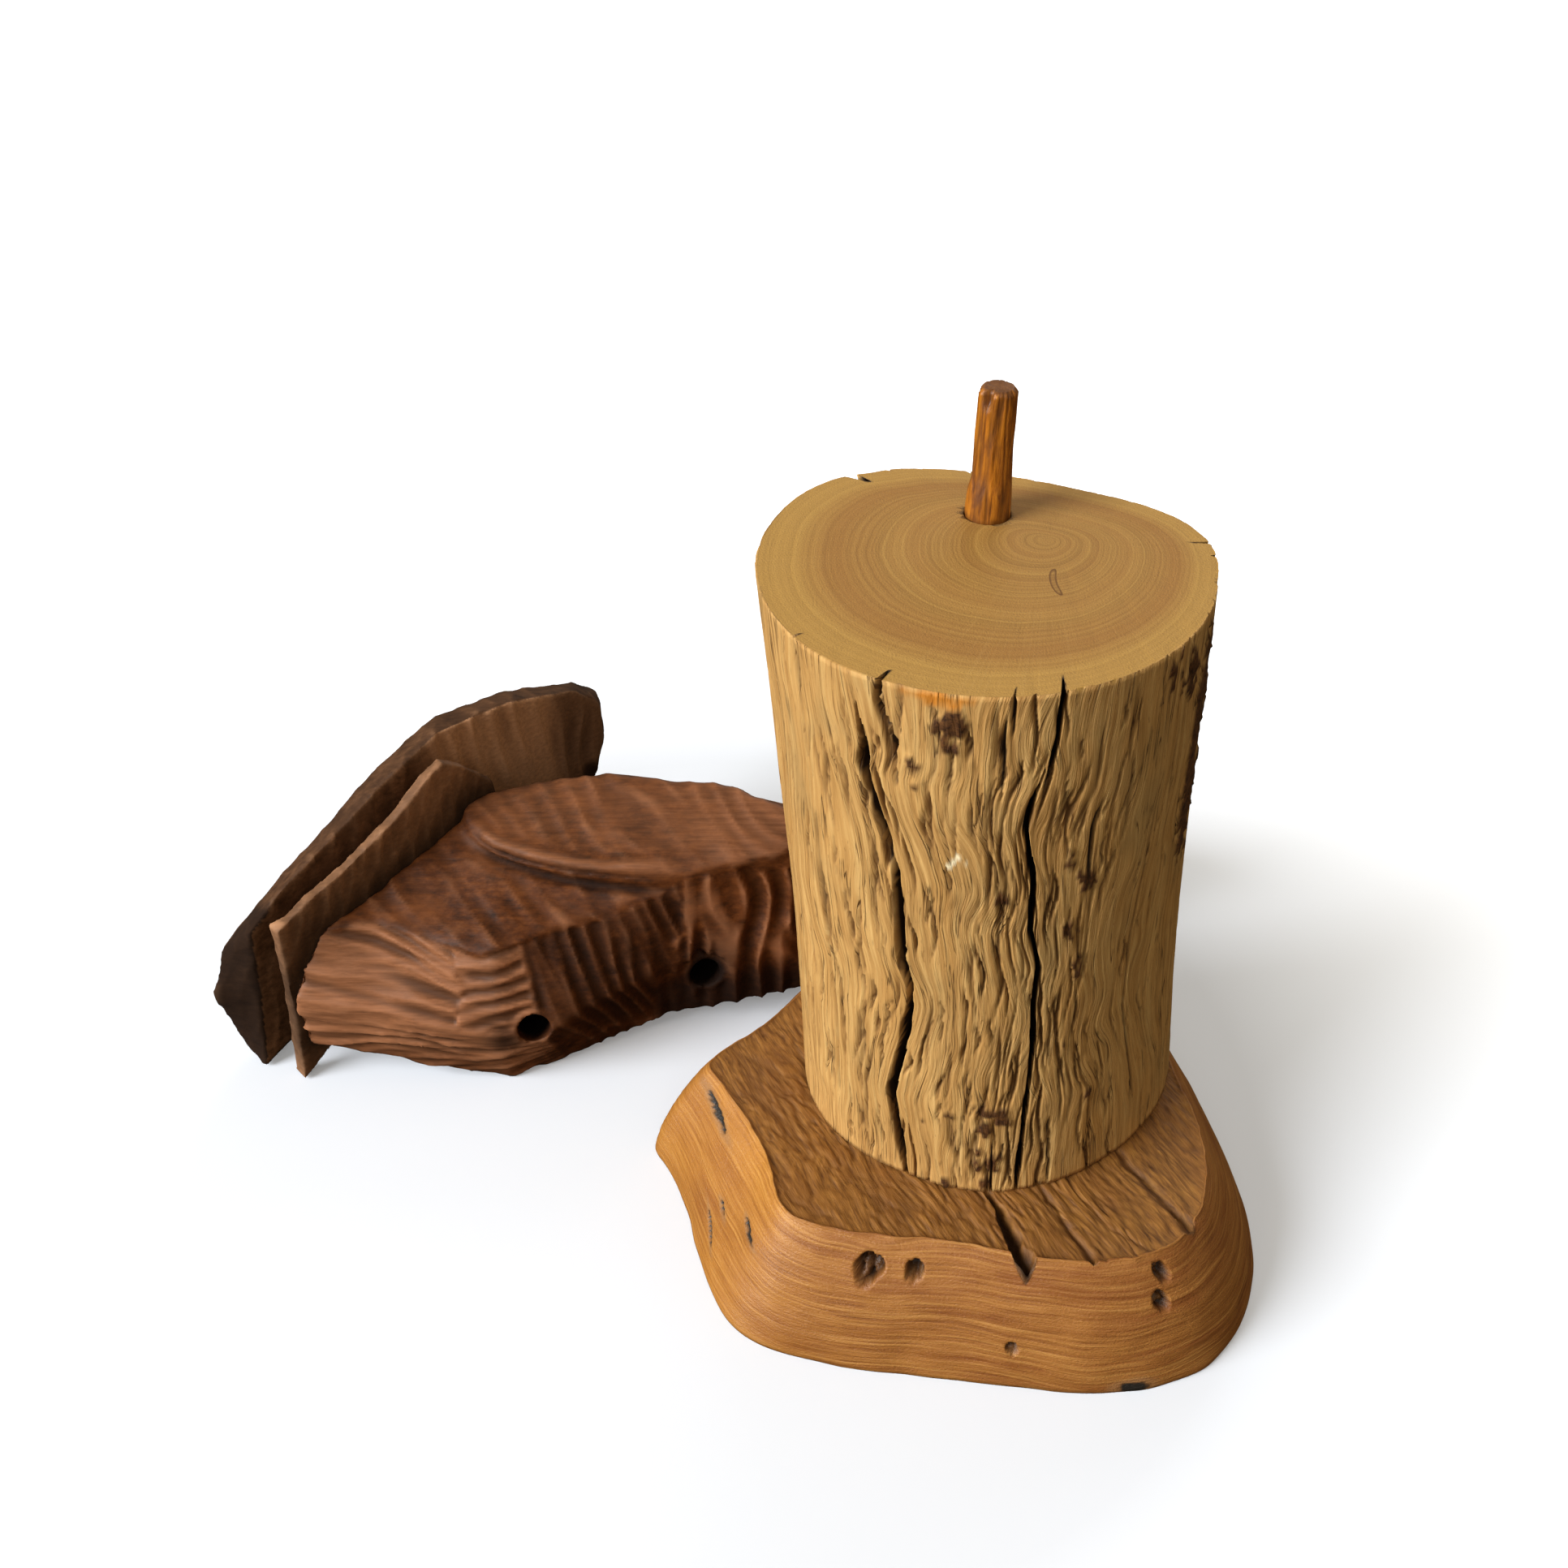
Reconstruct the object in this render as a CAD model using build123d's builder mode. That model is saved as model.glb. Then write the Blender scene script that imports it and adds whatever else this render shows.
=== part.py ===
"""A carved wooden bird and its stand, lying taken apart.

The stand is a flat live-edge slab with a short log post screwed to it from below. A loose stepped
peg sits in a hole in the top of the post. The bird lies beside the stand on its left side, lifted
off its peg. It has a body with a folded wing, a two-layer raised tail and two peg holes in the belly.

Frame: millimetres, +Z up, origin on the underside of the slab, below the post.
"""

import math
import os

from build123d import *

os.makedirs("parts", exist_ok=True)

# ---- driving dimensions -------------------------------------------------------------------------
SLAB_H = 38.0  # thickness of the slab
POST_H = 180.0  # height of the post
POST_TOP = SLAB_H + POST_H

PEG_XY = (2.5, 33.5)  # centre of the peg hole
PEG_FOOT_R = 6.35  # half-inch dowel, left full size at its foot
PEG_TIP_R = 5.3  # whittled down to enter the bird
PEG_HOLE_R = PEG_FOOT_R + 0.25
PEG_HOLE_DEPTH = 40.0
PEG_SHOULDER = 11.0  # the full-size foot stands this far out of the post
PEG_OUT = 37.0  # the whole peg stands this far out of the post
PEG_BEVEL = 1.2

POST_MID = (12.5, 2.0)  # centre of the post's foot
SCREW_SPACING = 48.0
SCREW_R = 3.0
SCREW_CLEARANCE = 0.2
SCREW_BITE = 30.0  # length of screw inside the post
SCREW_POINT = 6.0
SCREW_TIP_R = 0.6
COUNTERBORE_R = 8.0
COUNTERBORE_DEPTH = 9.0
HEAD_ACROSS_FLATS = 10.0
HEAD_H = 4.0
WASHER_R = 6.8
WASHER_H = 1.2

BIRD_HOLE_R = 5.6
BIRD_HOLE_DEPTH = 28.0
SPOT_R = 9.5  # flat pared around each peg hole
SPOT_CLEAR = 12.0  # the paring cuts this far outward
BIRD_TOP = 110.0  # above the highest point of the bird


# ---- slab ---------------------------------------------------------------------------------------
# Outlines run anticlockwise from the left corner.
SLAB_FOOT = [
    (-96, -11), (-84, -36), (-77, -60), (-66, -79), (-44, -88), (0, -94), (44, -98), (76, -87),
    (92, -64), (97, -36), (92, -4), (82, 26), (58, 54), (22, 70), (-22, 62), (-58, 38), (-82, 10),
]
SLAB_RIM = [
    (-77, -7), (-66, -25), (-58, -44), (-53, -61), (-38, -68), (0, -73), (34, -79), (58, -74),
    (70, -62), (76, -42), (75, -20), (71, 8), (52, 46), (20, 63), (-20, 54), (-48, 29), (-66, 9),
]
SLAB_SWELL_Z = 15.0  # the live edge swells out a little at this height
SLAB_SWELL = 2.5
GROOVE_ABOVE = 1.0  # a groove's wedge starts this far above the slab


def swollen(foot, rim, share, swell):
    """Points between two outlines, pushed out from the middle by swell."""
    points = []
    for (fx, fy), (rx, ry) in zip(foot, rim):
        x = fx + (rx - fx) * share
        y = fy + (ry - fy) * share
        reach = math.hypot(x, y)
        points.append((x * (1 + swell / reach), y * (1 + swell / reach)))
    return points


def slab_groove(start, end, width, depth):
    """A wedge along the top of the slab, from start to end, for a split or a knife line."""
    path = Edge.make_line((*start, SLAB_H), (*end, SLAB_H))
    across = Plane(origin=path @ 0, z_dir=path % 0, x_dir=(path % 0).cross(Vector(0, 0, 1)))
    with BuildPart(mode=Mode.PRIVATE) as wedge:
        with BuildSketch(across):
            with BuildLine():
                Polyline(
                    (-width / 2, -GROOVE_ABOVE),
                    (width / 2, -GROOVE_ABOVE),
                    (0, depth),
                    close=True,
                )
            make_face()
        extrude(amount=path.length)
    return wedge.part


def screw_places():
    x, y = POST_MID
    return [(x, y - SCREW_SPACING / 2), (x, y + SCREW_SPACING / 2)]


BORER_HOLES = [  # a point on the slab's edge, and the radius left by the beetle
    ((-28, -75, 30), 4.6),
    ((-15, -76, 31), 2.9),
    ((56, -79, 33), 2.8),
    ((56, -84, 26), 2.8),
    ((13, -90, 13), 2.2),
]
BORER_DEPTH = 9.0
BORER_LEAN = 0.25  # the holes turn this share of the way towards the middle of the slab
BORER_DROP = 10.0
TOP_GROOVES = [  # start, end, width and depth of the split and of two saw marks
    ((7, -52), (21, -88), 5.0, 9.0),
    ((24, -52), (38, -84), 1.6, 1.8),
    ((49, -38), (70, -74), 2.2, 2.6),
]

with BuildPart() as slab:
    with BuildSketch(Plane.XY):
        with BuildLine():
            Spline(*SLAB_FOOT, periodic=True)
        make_face()
    with BuildSketch(Plane.XY.offset(SLAB_SWELL_Z)):
        with BuildLine():
            Spline(*swollen(SLAB_FOOT, SLAB_RIM, SLAB_SWELL_Z / SLAB_H, SLAB_SWELL), periodic=True)
        make_face()
    with BuildSketch(Plane.XY.offset(SLAB_H)):
        with BuildLine():
            Spline(*SLAB_RIM, periodic=True)
        make_face()
    loft()
    with Locations(*[(x, y, 0) for x, y in screw_places()]):
        Cylinder(COUNTERBORE_R, 2 * COUNTERBORE_DEPTH, mode=Mode.SUBTRACT)
        Cylinder(SCREW_R + SCREW_CLEARANCE, 3 * SLAB_H, mode=Mode.SUBTRACT)
    for (x, y, z), radius in BORER_HOLES:
        inward = Plane(origin=(x, y, z), z_dir=(-x * BORER_LEAN, -y, -BORER_DROP))
        with BuildSketch(inward.offset(-BORER_DEPTH)):
            Circle(radius)
        extrude(amount=2 * BORER_DEPTH, mode=Mode.SUBTRACT)
    for start, end, width, depth in TOP_GROOVES:
        add(slab_groove(start, end, width, depth), mode=Mode.SUBTRACT)
slab.part.label = "base_slab"

# ---- post ---------------------------------------------------------------------------------------
# The log leans a little, so its foot and its top have outlines of their own.
POST_FOOT = [
    (72, 4), (63, 31), (42, 50), (12, 58), (-20, 48), (-41, 24),
    (-47, -1), (-41, -27), (-22, -45), (4, -54), (34, -48), (60, -28),
]
POST_CROWN = [
    (60, 4), (55, 30), (30, 48), (-4, 60), (-36, 56), (-57, 28),
    (-60, -2), (-53, -26), (-31, -48), (-2, -55.5), (28, -46), (51, -21),
]
WAIST = 0.975  # the log is slimmest at mid-height
POST_BEYOND = 120.0  # further out than any point of the log
POST_STATIONS = (0.0, 0.25, 0.5, 0.75, 1.0)  # shares of the height


def post_outline(share):
    """The log's outline at a share of its height."""
    waist = 1 - (1 - WAIST) * math.sin(math.pi * share)
    mid_x = POST_MID[0] * (1 - share)
    points = []
    for (fx, fy), (cx, cy) in zip(POST_FOOT, POST_CROWN):
        x = fx + (cx - fx) * share
        y = fy + (cy - fy) * share
        points.append((mid_x + (x - mid_x) * waist, y * waist))
    return points


# Drying checks: each is a row of (angle round the post in degrees, height above the slab, width).
CHECKS = {
    "left": [(236, 182, 3.2), (237, 170, 2.4), (240, 150, 0.8)],
    "long_left": [
        (231, 170, 0.8), (232, 152, 3.2), (237, 129, 3.4), (239, 95, 3.6),
        (242, 73, 3.0), (236, 34, 2.6), (239, 0, 1.4),
    ],
    "right": [(282, 182, 3.4), (281, 166, 3.0), (278, 150, 0.8)],
    "long_right": [
        (278, 158, 0.8), (274, 142, 3.6), (277, 115, 3.8), (278, 75, 3.4),
        (276, 28, 2.8), (274, 0, 1.4),
    ],
    "back": [(121, 182, 4.5), (121, 150, 0.8)],
}
CHECK_DEPTH = 9.0
CHECK_LEAST = 0.4  # share of the depth that the narrowest check has
CHECK_FULL_WIDTH = 4.0  # each millimetre of width adds the rest of the depth over this width
CHECK_MOUTH = 4.0  # the cut starts this far outside the log
CHECK_FLARE = 0.75  # half the cut's width out there, for each millimetre of a check's width


def post_reach(share, angle):
    """The distance from the post's middle to its outline, along an angle."""
    mid = Vector(POST_MID[0] * (1 - share), 0)
    outline = Spline(*post_outline(share), periodic=True, mode=Mode.PRIVATE)
    far = mid + Vector(POST_BEYOND, 0).rotate(Axis.Z, angle)
    beam = Edge.make_line(mid, far)
    return mid, (outline.intersect(beam)[0].center() - mid).length


def check_cut(row):
    """A drying check as a solid: wedges at each height of its row, joined up."""
    with BuildPart(mode=Mode.PRIVATE) as cut:
        for angle, height, width in row:
            share = min(height / POST_H, 1.0)
            mid, reach = post_reach(share, angle)
            out = Vector(1, 0).rotate(Axis.Z, angle)
            side = Vector(0, 1).rotate(Axis.Z, angle)
            mouth = mid + out * (reach + CHECK_MOUTH)
            depth = CHECK_DEPTH * min(1.0, CHECK_LEAST + width / CHECK_FULL_WIDTH)
            root = mid + out * (reach - depth)
            half = side * (width * CHECK_FLARE)
            with BuildSketch(Plane.XY.offset(SLAB_H + height)):
                with BuildLine():
                    Polyline(
                        tuple(mouth - half)[:2],
                        tuple(mouth + half)[:2],
                        tuple(root)[:2],
                        close=True,
                    )
                make_face()
        loft(ruled=True)
    return cut.part


with BuildPart() as post:
    for share in POST_STATIONS:
        with BuildSketch(Plane.XY.offset(SLAB_H + share * POST_H)):
            with BuildLine():
                Spline(*post_outline(share), periodic=True)
            make_face()
    loft()
    with Locations((*PEG_XY, POST_TOP - PEG_HOLE_DEPTH)):
        Cylinder(
            PEG_HOLE_R,
            PEG_HOLE_DEPTH + 1,
            align=(Align.CENTER, Align.CENTER, Align.MIN),
            mode=Mode.SUBTRACT,
        )
    with Locations(*[(x, y, SLAB_H) for x, y in screw_places()]):
        Cylinder(SCREW_R + SCREW_CLEARANCE, 2 * (SCREW_BITE + 1), mode=Mode.SUBTRACT)
    for row in CHECKS.values():
        add(check_cut(row), mode=Mode.SUBTRACT)
post.part.label = "post_log"

# ---- screws and washers -------------------------------------------------------------------------
HEAD_Z = COUNTERBORE_DEPTH - WASHER_H - HEAD_H  # underside of the screw's head
with BuildPart() as screws:
    for x, y in screw_places():
        with BuildSketch(Plane((x, y, HEAD_Z))):
            RegularPolygon(HEAD_ACROSS_FLATS / 2, 6, major_radius=False)
        extrude(amount=HEAD_H)
        with BuildSketch(Plane((x, y, HEAD_Z + HEAD_H))):
            Circle(SCREW_R)
        extrude(amount=SLAB_H + SCREW_BITE - HEAD_Z - HEAD_H - SCREW_POINT)
        with BuildSketch(Plane((x, y, SLAB_H + SCREW_BITE - SCREW_POINT))):
            Circle(SCREW_R)
        with BuildSketch(Plane((x, y, SLAB_H + SCREW_BITE))):
            Circle(SCREW_TIP_R)
        loft()
screws.part.label = "base_screws"

with BuildPart() as washers:
    for x, y in screw_places():
        with BuildSketch(Plane((x, y, COUNTERBORE_DEPTH - WASHER_H))):
            Circle(WASHER_R)
            Circle(SCREW_R + SCREW_CLEARANCE, mode=Mode.SUBTRACT)
        extrude(amount=WASHER_H)
washers.part.label = "base_washers"

# ---- peg ----------------------------------------------------------------------------------------
PEG_FOOT_Z = POST_TOP - PEG_HOLE_DEPTH
with BuildPart() as peg:
    with BuildSketch(Plane.XZ.offset(-PEG_XY[1])):
        with BuildLine():
            Polyline(
                (PEG_XY[0], PEG_FOOT_Z),
                (PEG_XY[0] + PEG_FOOT_R - PEG_BEVEL, PEG_FOOT_Z),
                (PEG_XY[0] + PEG_FOOT_R, PEG_FOOT_Z + PEG_BEVEL),
                (PEG_XY[0] + PEG_FOOT_R, POST_TOP + PEG_SHOULDER - PEG_BEVEL),
                (PEG_XY[0] + PEG_TIP_R, POST_TOP + PEG_SHOULDER + PEG_BEVEL),
                (PEG_XY[0] + PEG_TIP_R, POST_TOP + PEG_OUT - PEG_BEVEL),
                (PEG_XY[0] + PEG_TIP_R - PEG_BEVEL, POST_TOP + PEG_OUT),
                (PEG_XY[0], POST_TOP + PEG_OUT),
                close=True,
            )
        make_face()
    revolve(axis=Axis((*PEG_XY, 0), (0, 0, 1)))
peg.part.label = "peg"

# ---- bird's body --------------------------------------------------------------------------------
# Sections across the body, from the tail to the tip of the beak, each at its own X. A section's
# points are (Y, Z), going round from the bottom of the belly: belly edge, belly, belly ridge,
# wing edge, top of the flank, shoulder of the back, back, lower back, underneath.
BODY = {
    -228: [(26, 18), (25, 38), (35, 62), (44, 65), (54, 66), (64, 61), (68, 42), (63, 24), (44, 16)],
    -214: [(25, 14), (23, 38), (34, 63), (48, 67), (60, 70), (73, 65), (79, 43), (71, 20), (46, 12)],
    -192: [(25, 9), (21, 35), (38, 60), (56, 70), (73, 76), (90, 68), (97, 43), (86, 16), (52, 6)],
    -170: [(23, 4), (18, 32), (33, 58), (61, 72), (80, 80), (97, 68), (107, 43), (97, 13), (57, 2)],
    -150: [(24, 0), (17, 27), (28, 57), (58, 73), (82, 81), (102, 65), (113, 42), (103, 10), (62, 0)],
    -134: [(31, 1), (20, 27), (38, 60), (54, 72), (84, 84), (104, 67), (117, 42), (108, 9), (68, 0)],
    -114: [(40, 4), (32, 32), (43, 62), (50, 70), (84, 87), (105, 68), (119, 42), (110, 10), (74, 1)],
    -94: [(48, 8), (43, 36), (48, 66), (54, 74), (81, 86), (102, 67), (117, 42), (109, 12), (78, 4)],
    -73: [(49, 11), (46, 38), (54, 71), (59, 76), (79, 86), (98, 66), (112, 43), (105, 16), (78, 8)],
    -50: [(53, 14), (52, 40), (58, 73), (63, 77), (76, 83), (96, 65), (109, 44), (103, 20), (80, 12)],
    -24: [(72, 20), (68, 43), (74, 65), (80, 70), (91, 74), (106, 65), (114, 45), (108, 27), (91, 18)],
    4: [(88, 28), (84, 44), (89, 59), (95, 64), (103, 66), (115, 61), (120, 46), (115, 32), (102, 26)],
    24: [(97, 31), (93, 45), (97, 57), (102, 62), (110, 64), (121, 59), (126, 46), (121, 33), (109, 28)],
    38: [(98, 29), (93, 45), (98, 60), (105, 65), (114, 66), (127, 60), (131, 45), (126, 31), (112, 26)],
    54: [(100, 30), (96, 45), (101, 59), (107, 63), (115, 64), (127, 58), (131, 45), (126, 33), (113, 28)],
    66: [(104, 36), (102, 45), (105, 53), (109, 56), (115, 57), (122, 53), (124, 45), (121, 38), (113, 35)],
    82: [(109, 43), (108, 45), (109, 47), (110, 48), (112, 48), (114, 47), (115, 45), (114, 43), (112, 42)],
}
WING_RISE = 4.0  # the folded wing stands this far above the flank
WING_OUTLINE = [  # in plan, from the wing's tip round its lower edge to the bend and back
    (-166, 76), (-155, 60), (-141, 54), (-127, 51), (-98, 49), (-66, 54), (-46, 61),
    (-34, 70), (-50, 73), (-74, 82), (-92, 98), (-115, 108), (-140, 104), (-158, 92),
]
WING_FLOOR = 60.0  # the wing's outline is cut down to this height, inside the body

# The tail stands on edge. In its plane, x runs along the tail and y is height above the table.
TAIL_TURN = math.radians(43)
TAIL_PLANE = Plane(
    origin=(-235, 31, 0),
    x_dir=(math.cos(TAIL_TURN), math.sin(TAIL_TURN), 0),
    z_dir=(math.sin(TAIL_TURN), -math.cos(TAIL_TURN), 0),
)
FAN_THICK = 12.0
COVERTS_LIP = 4.5  # thickness of the coverts' free edge
COVERTS_THICK = 14.5
FAN_FACE = [
    (-4, 0), (1, 33), (3, 62), (18, 73), (40, 84), (61, 95), (84, 105), (113, 104),
    (142, 96), (153, 85), (154, 66), (147, 48), (116, 30), (80, 20), (40, 16), (10, 6),
]
FAN_BACK = [
    (-5, 3), (-12, 33), (-4, 50), (17, 66), (42, 80), (63, 93), (90, 104), (118, 101),
    (149, 91), (161, 82), (163, 62), (153, 44), (120, 28), (82, 18), (42, 14), (8, 5),
]
COVERTS_EDGE = [
    (5, 0), (7, 28), (8, 69), (20, 75), (35, 80), (56, 90), (70, 100), (77, 103),
    (85, 97), (95, 86), (100, 60), (88, 32), (50, 20), (22, 14),
]
COVERTS_CORE = [
    (24, 30), (26, 60), (56, 75), (76, 84), (88, 76), (92, 58), (80, 38), (48, 27),
]
DOWEL_R = 3.0
DOWEL_PLACES = [(52, 46), (74, 54)]
DOWEL_START = -7.0
DOWEL_END = 34.0

BORE_OUT = Vector(0.22, -0.92, 0.36).normalized()  # the way the peg leaves either hole
BORE_MOUTHS = [(-138.5, 20.5, 28), (-80.5, 45.5, 29)]


def body_hull(rise):
    """The bird's body without its wing, raised by rise."""
    with BuildPart(mode=Mode.PRIVATE) as hull:
        for x, section in BODY.items():
            with BuildSketch(Plane.YZ.offset(x)):
                with BuildLine():
                    Polyline(*[(y, z + rise) for y, z in section], close=True)
                make_face()
        loft(ruled=True)
    return hull.part


def dowel_holes():
    """Blind holes for the two tail dowels, along the thickness of the tail."""
    with BuildPart(mode=Mode.PRIVATE) as holes:
        with BuildSketch(TAIL_PLANE.offset(DOWEL_START)):
            with Locations(*DOWEL_PLACES):
                Circle(DOWEL_R)
        extrude(amount=DOWEL_END - DOWEL_START)
    return holes.part


with BuildPart() as wing:
    with BuildSketch(Plane.XY.offset(WING_FLOOR)):
        with BuildLine():
            Spline(*WING_OUTLINE, periodic=True)
        make_face()
    extrude(amount=BIRD_TOP - WING_FLOOR)
    add(body_hull(WING_RISE), mode=Mode.INTERSECT)

with BuildPart() as body:
    add(body_hull(0))
    add(wing.part)
    split(bisect_by=TAIL_PLANE.offset(COVERTS_THICK), keep=Keep.TOP)
    for mouth in BORE_MOUTHS:
        with BuildSketch(Plane(origin=mouth, z_dir=BORE_OUT)):
            Circle(SPOT_R)
        extrude(amount=SPOT_CLEAR, mode=Mode.SUBTRACT)
        with BuildSketch(Plane(origin=mouth, z_dir=BORE_OUT)):
            Circle(BIRD_HOLE_R)
        extrude(amount=-BIRD_HOLE_DEPTH, mode=Mode.SUBTRACT)
    add(dowel_holes(), mode=Mode.SUBTRACT)
body.part.label = "carved_body"

# ---- bird's tail --------------------------------------------------------------------------------
with BuildPart() as fan:
    for offset, outline in ((-FAN_THICK, FAN_BACK), (0, FAN_FACE)):
        with BuildSketch(TAIL_PLANE.offset(offset)):
            with BuildLine():
                Polyline(*outline, close=True)
            make_face()
    loft(ruled=True)
    add(dowel_holes(), mode=Mode.SUBTRACT)
fan.part.label = "tail_fan"

with BuildPart() as coverts:
    with BuildSketch(TAIL_PLANE):
        with BuildLine():
            Polyline(*COVERTS_CORE, close=True)
        make_face()
    extrude(amount=COVERTS_THICK)
    with BuildSketch(TAIL_PLANE.offset(COVERTS_THICK - COVERTS_LIP)):
        with BuildLine():
            Polyline(*COVERTS_EDGE, close=True)
        make_face()
    extrude(amount=COVERTS_LIP)
    add(dowel_holes(), mode=Mode.SUBTRACT)
coverts.part.label = "tail_coverts"

with BuildPart() as dowels:
    with BuildSketch(TAIL_PLANE.offset(DOWEL_START)):
        with Locations(*DOWEL_PLACES):
            Circle(DOWEL_R)
    extrude(amount=DOWEL_END - DOWEL_START)
dowels.part.label = "tail_dowels"

for piece in (slab, post, screws, washers, peg, body, fan, coverts, dowels):
    export_step(piece.part, f"parts/{piece.part.label}.step")
    solids = len(piece.part.solids())
    print(piece.part.label, piece.part.is_valid, solids, round(piece.part.volume / 1000, 1))
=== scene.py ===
"""Looks of a carved wooden bird and the log stand that it has been lifted off.

Each wooden piece takes its place and size from its CAD solid, and adds what the saw, the chisel and
the weather left: drying checks and wavy fissures in the log, a rough-sawn top and beetle holes in
the slab, gouge marks on the bird. Shaping is done in millimetres, and meshes are in metres.
"""

import math

import bmesh
import bpy
import numpy as np
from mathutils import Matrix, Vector
from mathutils.bvhtree import BVHTree


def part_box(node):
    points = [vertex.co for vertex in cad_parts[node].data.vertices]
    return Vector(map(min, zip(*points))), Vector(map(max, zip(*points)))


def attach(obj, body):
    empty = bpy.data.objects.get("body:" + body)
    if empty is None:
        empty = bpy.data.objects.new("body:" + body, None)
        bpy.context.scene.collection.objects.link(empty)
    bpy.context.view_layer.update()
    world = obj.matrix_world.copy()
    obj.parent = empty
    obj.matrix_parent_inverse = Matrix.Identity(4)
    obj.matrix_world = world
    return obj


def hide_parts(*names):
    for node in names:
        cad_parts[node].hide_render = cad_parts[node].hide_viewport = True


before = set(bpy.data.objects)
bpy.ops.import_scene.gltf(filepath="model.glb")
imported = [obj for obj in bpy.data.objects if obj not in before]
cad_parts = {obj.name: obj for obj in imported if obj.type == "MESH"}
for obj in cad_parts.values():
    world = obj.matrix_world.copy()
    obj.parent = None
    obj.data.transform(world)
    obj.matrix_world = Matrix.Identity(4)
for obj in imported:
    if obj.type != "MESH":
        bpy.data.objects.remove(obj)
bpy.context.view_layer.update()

MM = 0.001
ALMOST_TABLE = 0.02  # mm: nothing of the bird goes lower
DOUBLES_APART = 0.02 * MM
OUTSIDE = 170.0  # mm: rays towards the log or the slab start this far from its middle


# ---- noise and small helpers --------------------------------------------------------------------
LATTICE_SIZE = 32
LATTICE = np.random.default_rng(3).uniform(-1.0, 1.0, (LATTICE_SIZE,) * 3)


def noise(points, cell, shift=0.0):
    """Smooth noise from -1 to 1 at points (..., 3). cell is the size of its cells, one number or three."""
    p = np.asarray(points, float) / np.asarray(cell, float) + shift
    whole = np.floor(p).astype(int)
    part = p - whole
    part = part * part * (3 - 2 * part)
    total = 0.0
    for corner in range(8):
        step = np.array([corner & 1, corner >> 1 & 1, corner >> 2 & 1])
        weight = np.prod(np.where(step == 1, part, 1 - part), axis=-1)
        index = (whole + step) % LATTICE_SIZE
        total = total + weight * LATTICE[index[..., 0], index[..., 1], index[..., 2]]
    return total


def fissures(value, width):
    """1 along the lines where a noise crosses zero, falling to 0 at width."""
    return np.clip(1 - np.abs(value) / width, 0, 1)


def smooth_step(value, low, high):
    t = np.clip((value - low) / (high - low), 0, 1)
    return t * t * (3 - 2 * t)


def bell(value, middle, width):
    """1 where value is middle, falling smoothly to 0 on both sides."""
    return np.exp(-(((value - middle) / width) ** 2))


def turn_between(angle, other):
    """The signed difference of two angles in degrees, from -180 to 180."""
    return (np.asarray(angle) - other + 180) % 360 - 180


def around(angle, middle, reach):
    """1 near an angle in degrees, falling to 0 past reach from it."""
    return np.exp(-((turn_between(angle, middle) / reach) ** 4))


def route_at(route, places):
    """The route's value at each place, read between its (place, value) points."""
    return np.interp(places, *zip(*route))


def blended(first, second, amount):
    return first + (second - first) * amount


def angle_from(middle, spot):
    """The angle in degrees of spot seen from middle, both (x, y)."""
    return math.degrees(math.atan2(spot[1] - middle[1], spot[0] - middle[0]))


def unit(vectors):
    return vectors / np.maximum(np.linalg.norm(vectors, axis=-1, keepdims=True), 1e-9)


def cad_tree(node):
    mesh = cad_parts[node].data
    corners = [v.co / MM for v in mesh.vertices]
    return BVHTree.FromPolygons(corners, [tuple(p.vertices) for p in mesh.polygons])


def cad_reach(tree, mid, angles, z):
    """How far the CAD surface is from a vertical line through mid, at each angle, at a height z."""
    found = []
    for angle in np.radians(angles):
        out = Vector((math.cos(angle), math.sin(angle), 0))
        start = Vector((mid[0], mid[1], z)) + out * OUTSIDE
        distance = tree.ray_cast(start, -out)[3]
        found.append(OUTSIDE - distance if distance else np.nan)
    found = np.array(found)
    known = ~np.isnan(found)
    return np.interp(angles, np.array(angles)[known], found[known], period=360)


def spread_columns(count, fine):
    """count angles round a circle, closer together near each (angle, reach, times) in fine."""
    even = np.linspace(0, 360, 7201)
    density = np.ones_like(even)
    for angle, reach, times in fine:
        density += (times - 1) * around(even, angle, reach)
    total = np.concatenate([[0], np.cumsum((density[1:] + density[:-1]) / 2)])
    return np.interp(np.linspace(0, total[-1], count, endpoint=False), total, even)


def circle_turns(count):
    return np.linspace(0, 2 * np.pi, count, endpoint=False)


def linked(name, data):
    """A new object in the scene, made of a mesh, a light or a camera."""
    obj = bpy.data.objects.new(name, data)
    bpy.context.scene.collection.objects.link(obj)
    return obj


def evaluated_mesh(obj):
    graph = bpy.context.evaluated_depsgraph_get()
    return bpy.data.meshes.new_from_object(obj.evaluated_get(graph))


def piece(name, points, faces, marks, body, material, stands_for):
    """A finished mesh from points in mm, with marks as named values at each point."""
    mesh = bpy.data.meshes.new(name)
    mesh.from_pydata((np.asarray(points) * MM).tolist(), [], faces)
    for mark, values in marks.items():
        values = np.asarray(values, np.float32)
        kind = "FLOAT_VECTOR" if values.ndim == 2 else "FLOAT"
        attribute = mesh.attributes.new(mark, kind, "POINT")
        attribute.data.foreach_set("vector" if values.ndim == 2 else "value", values.ravel())
    obj = linked(name, mesh)
    mesh.materials.append(material)
    for polygon in mesh.polygons:
        polygon.use_smooth = True
    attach(obj, body)
    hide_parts(stands_for)
    return obj


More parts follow.
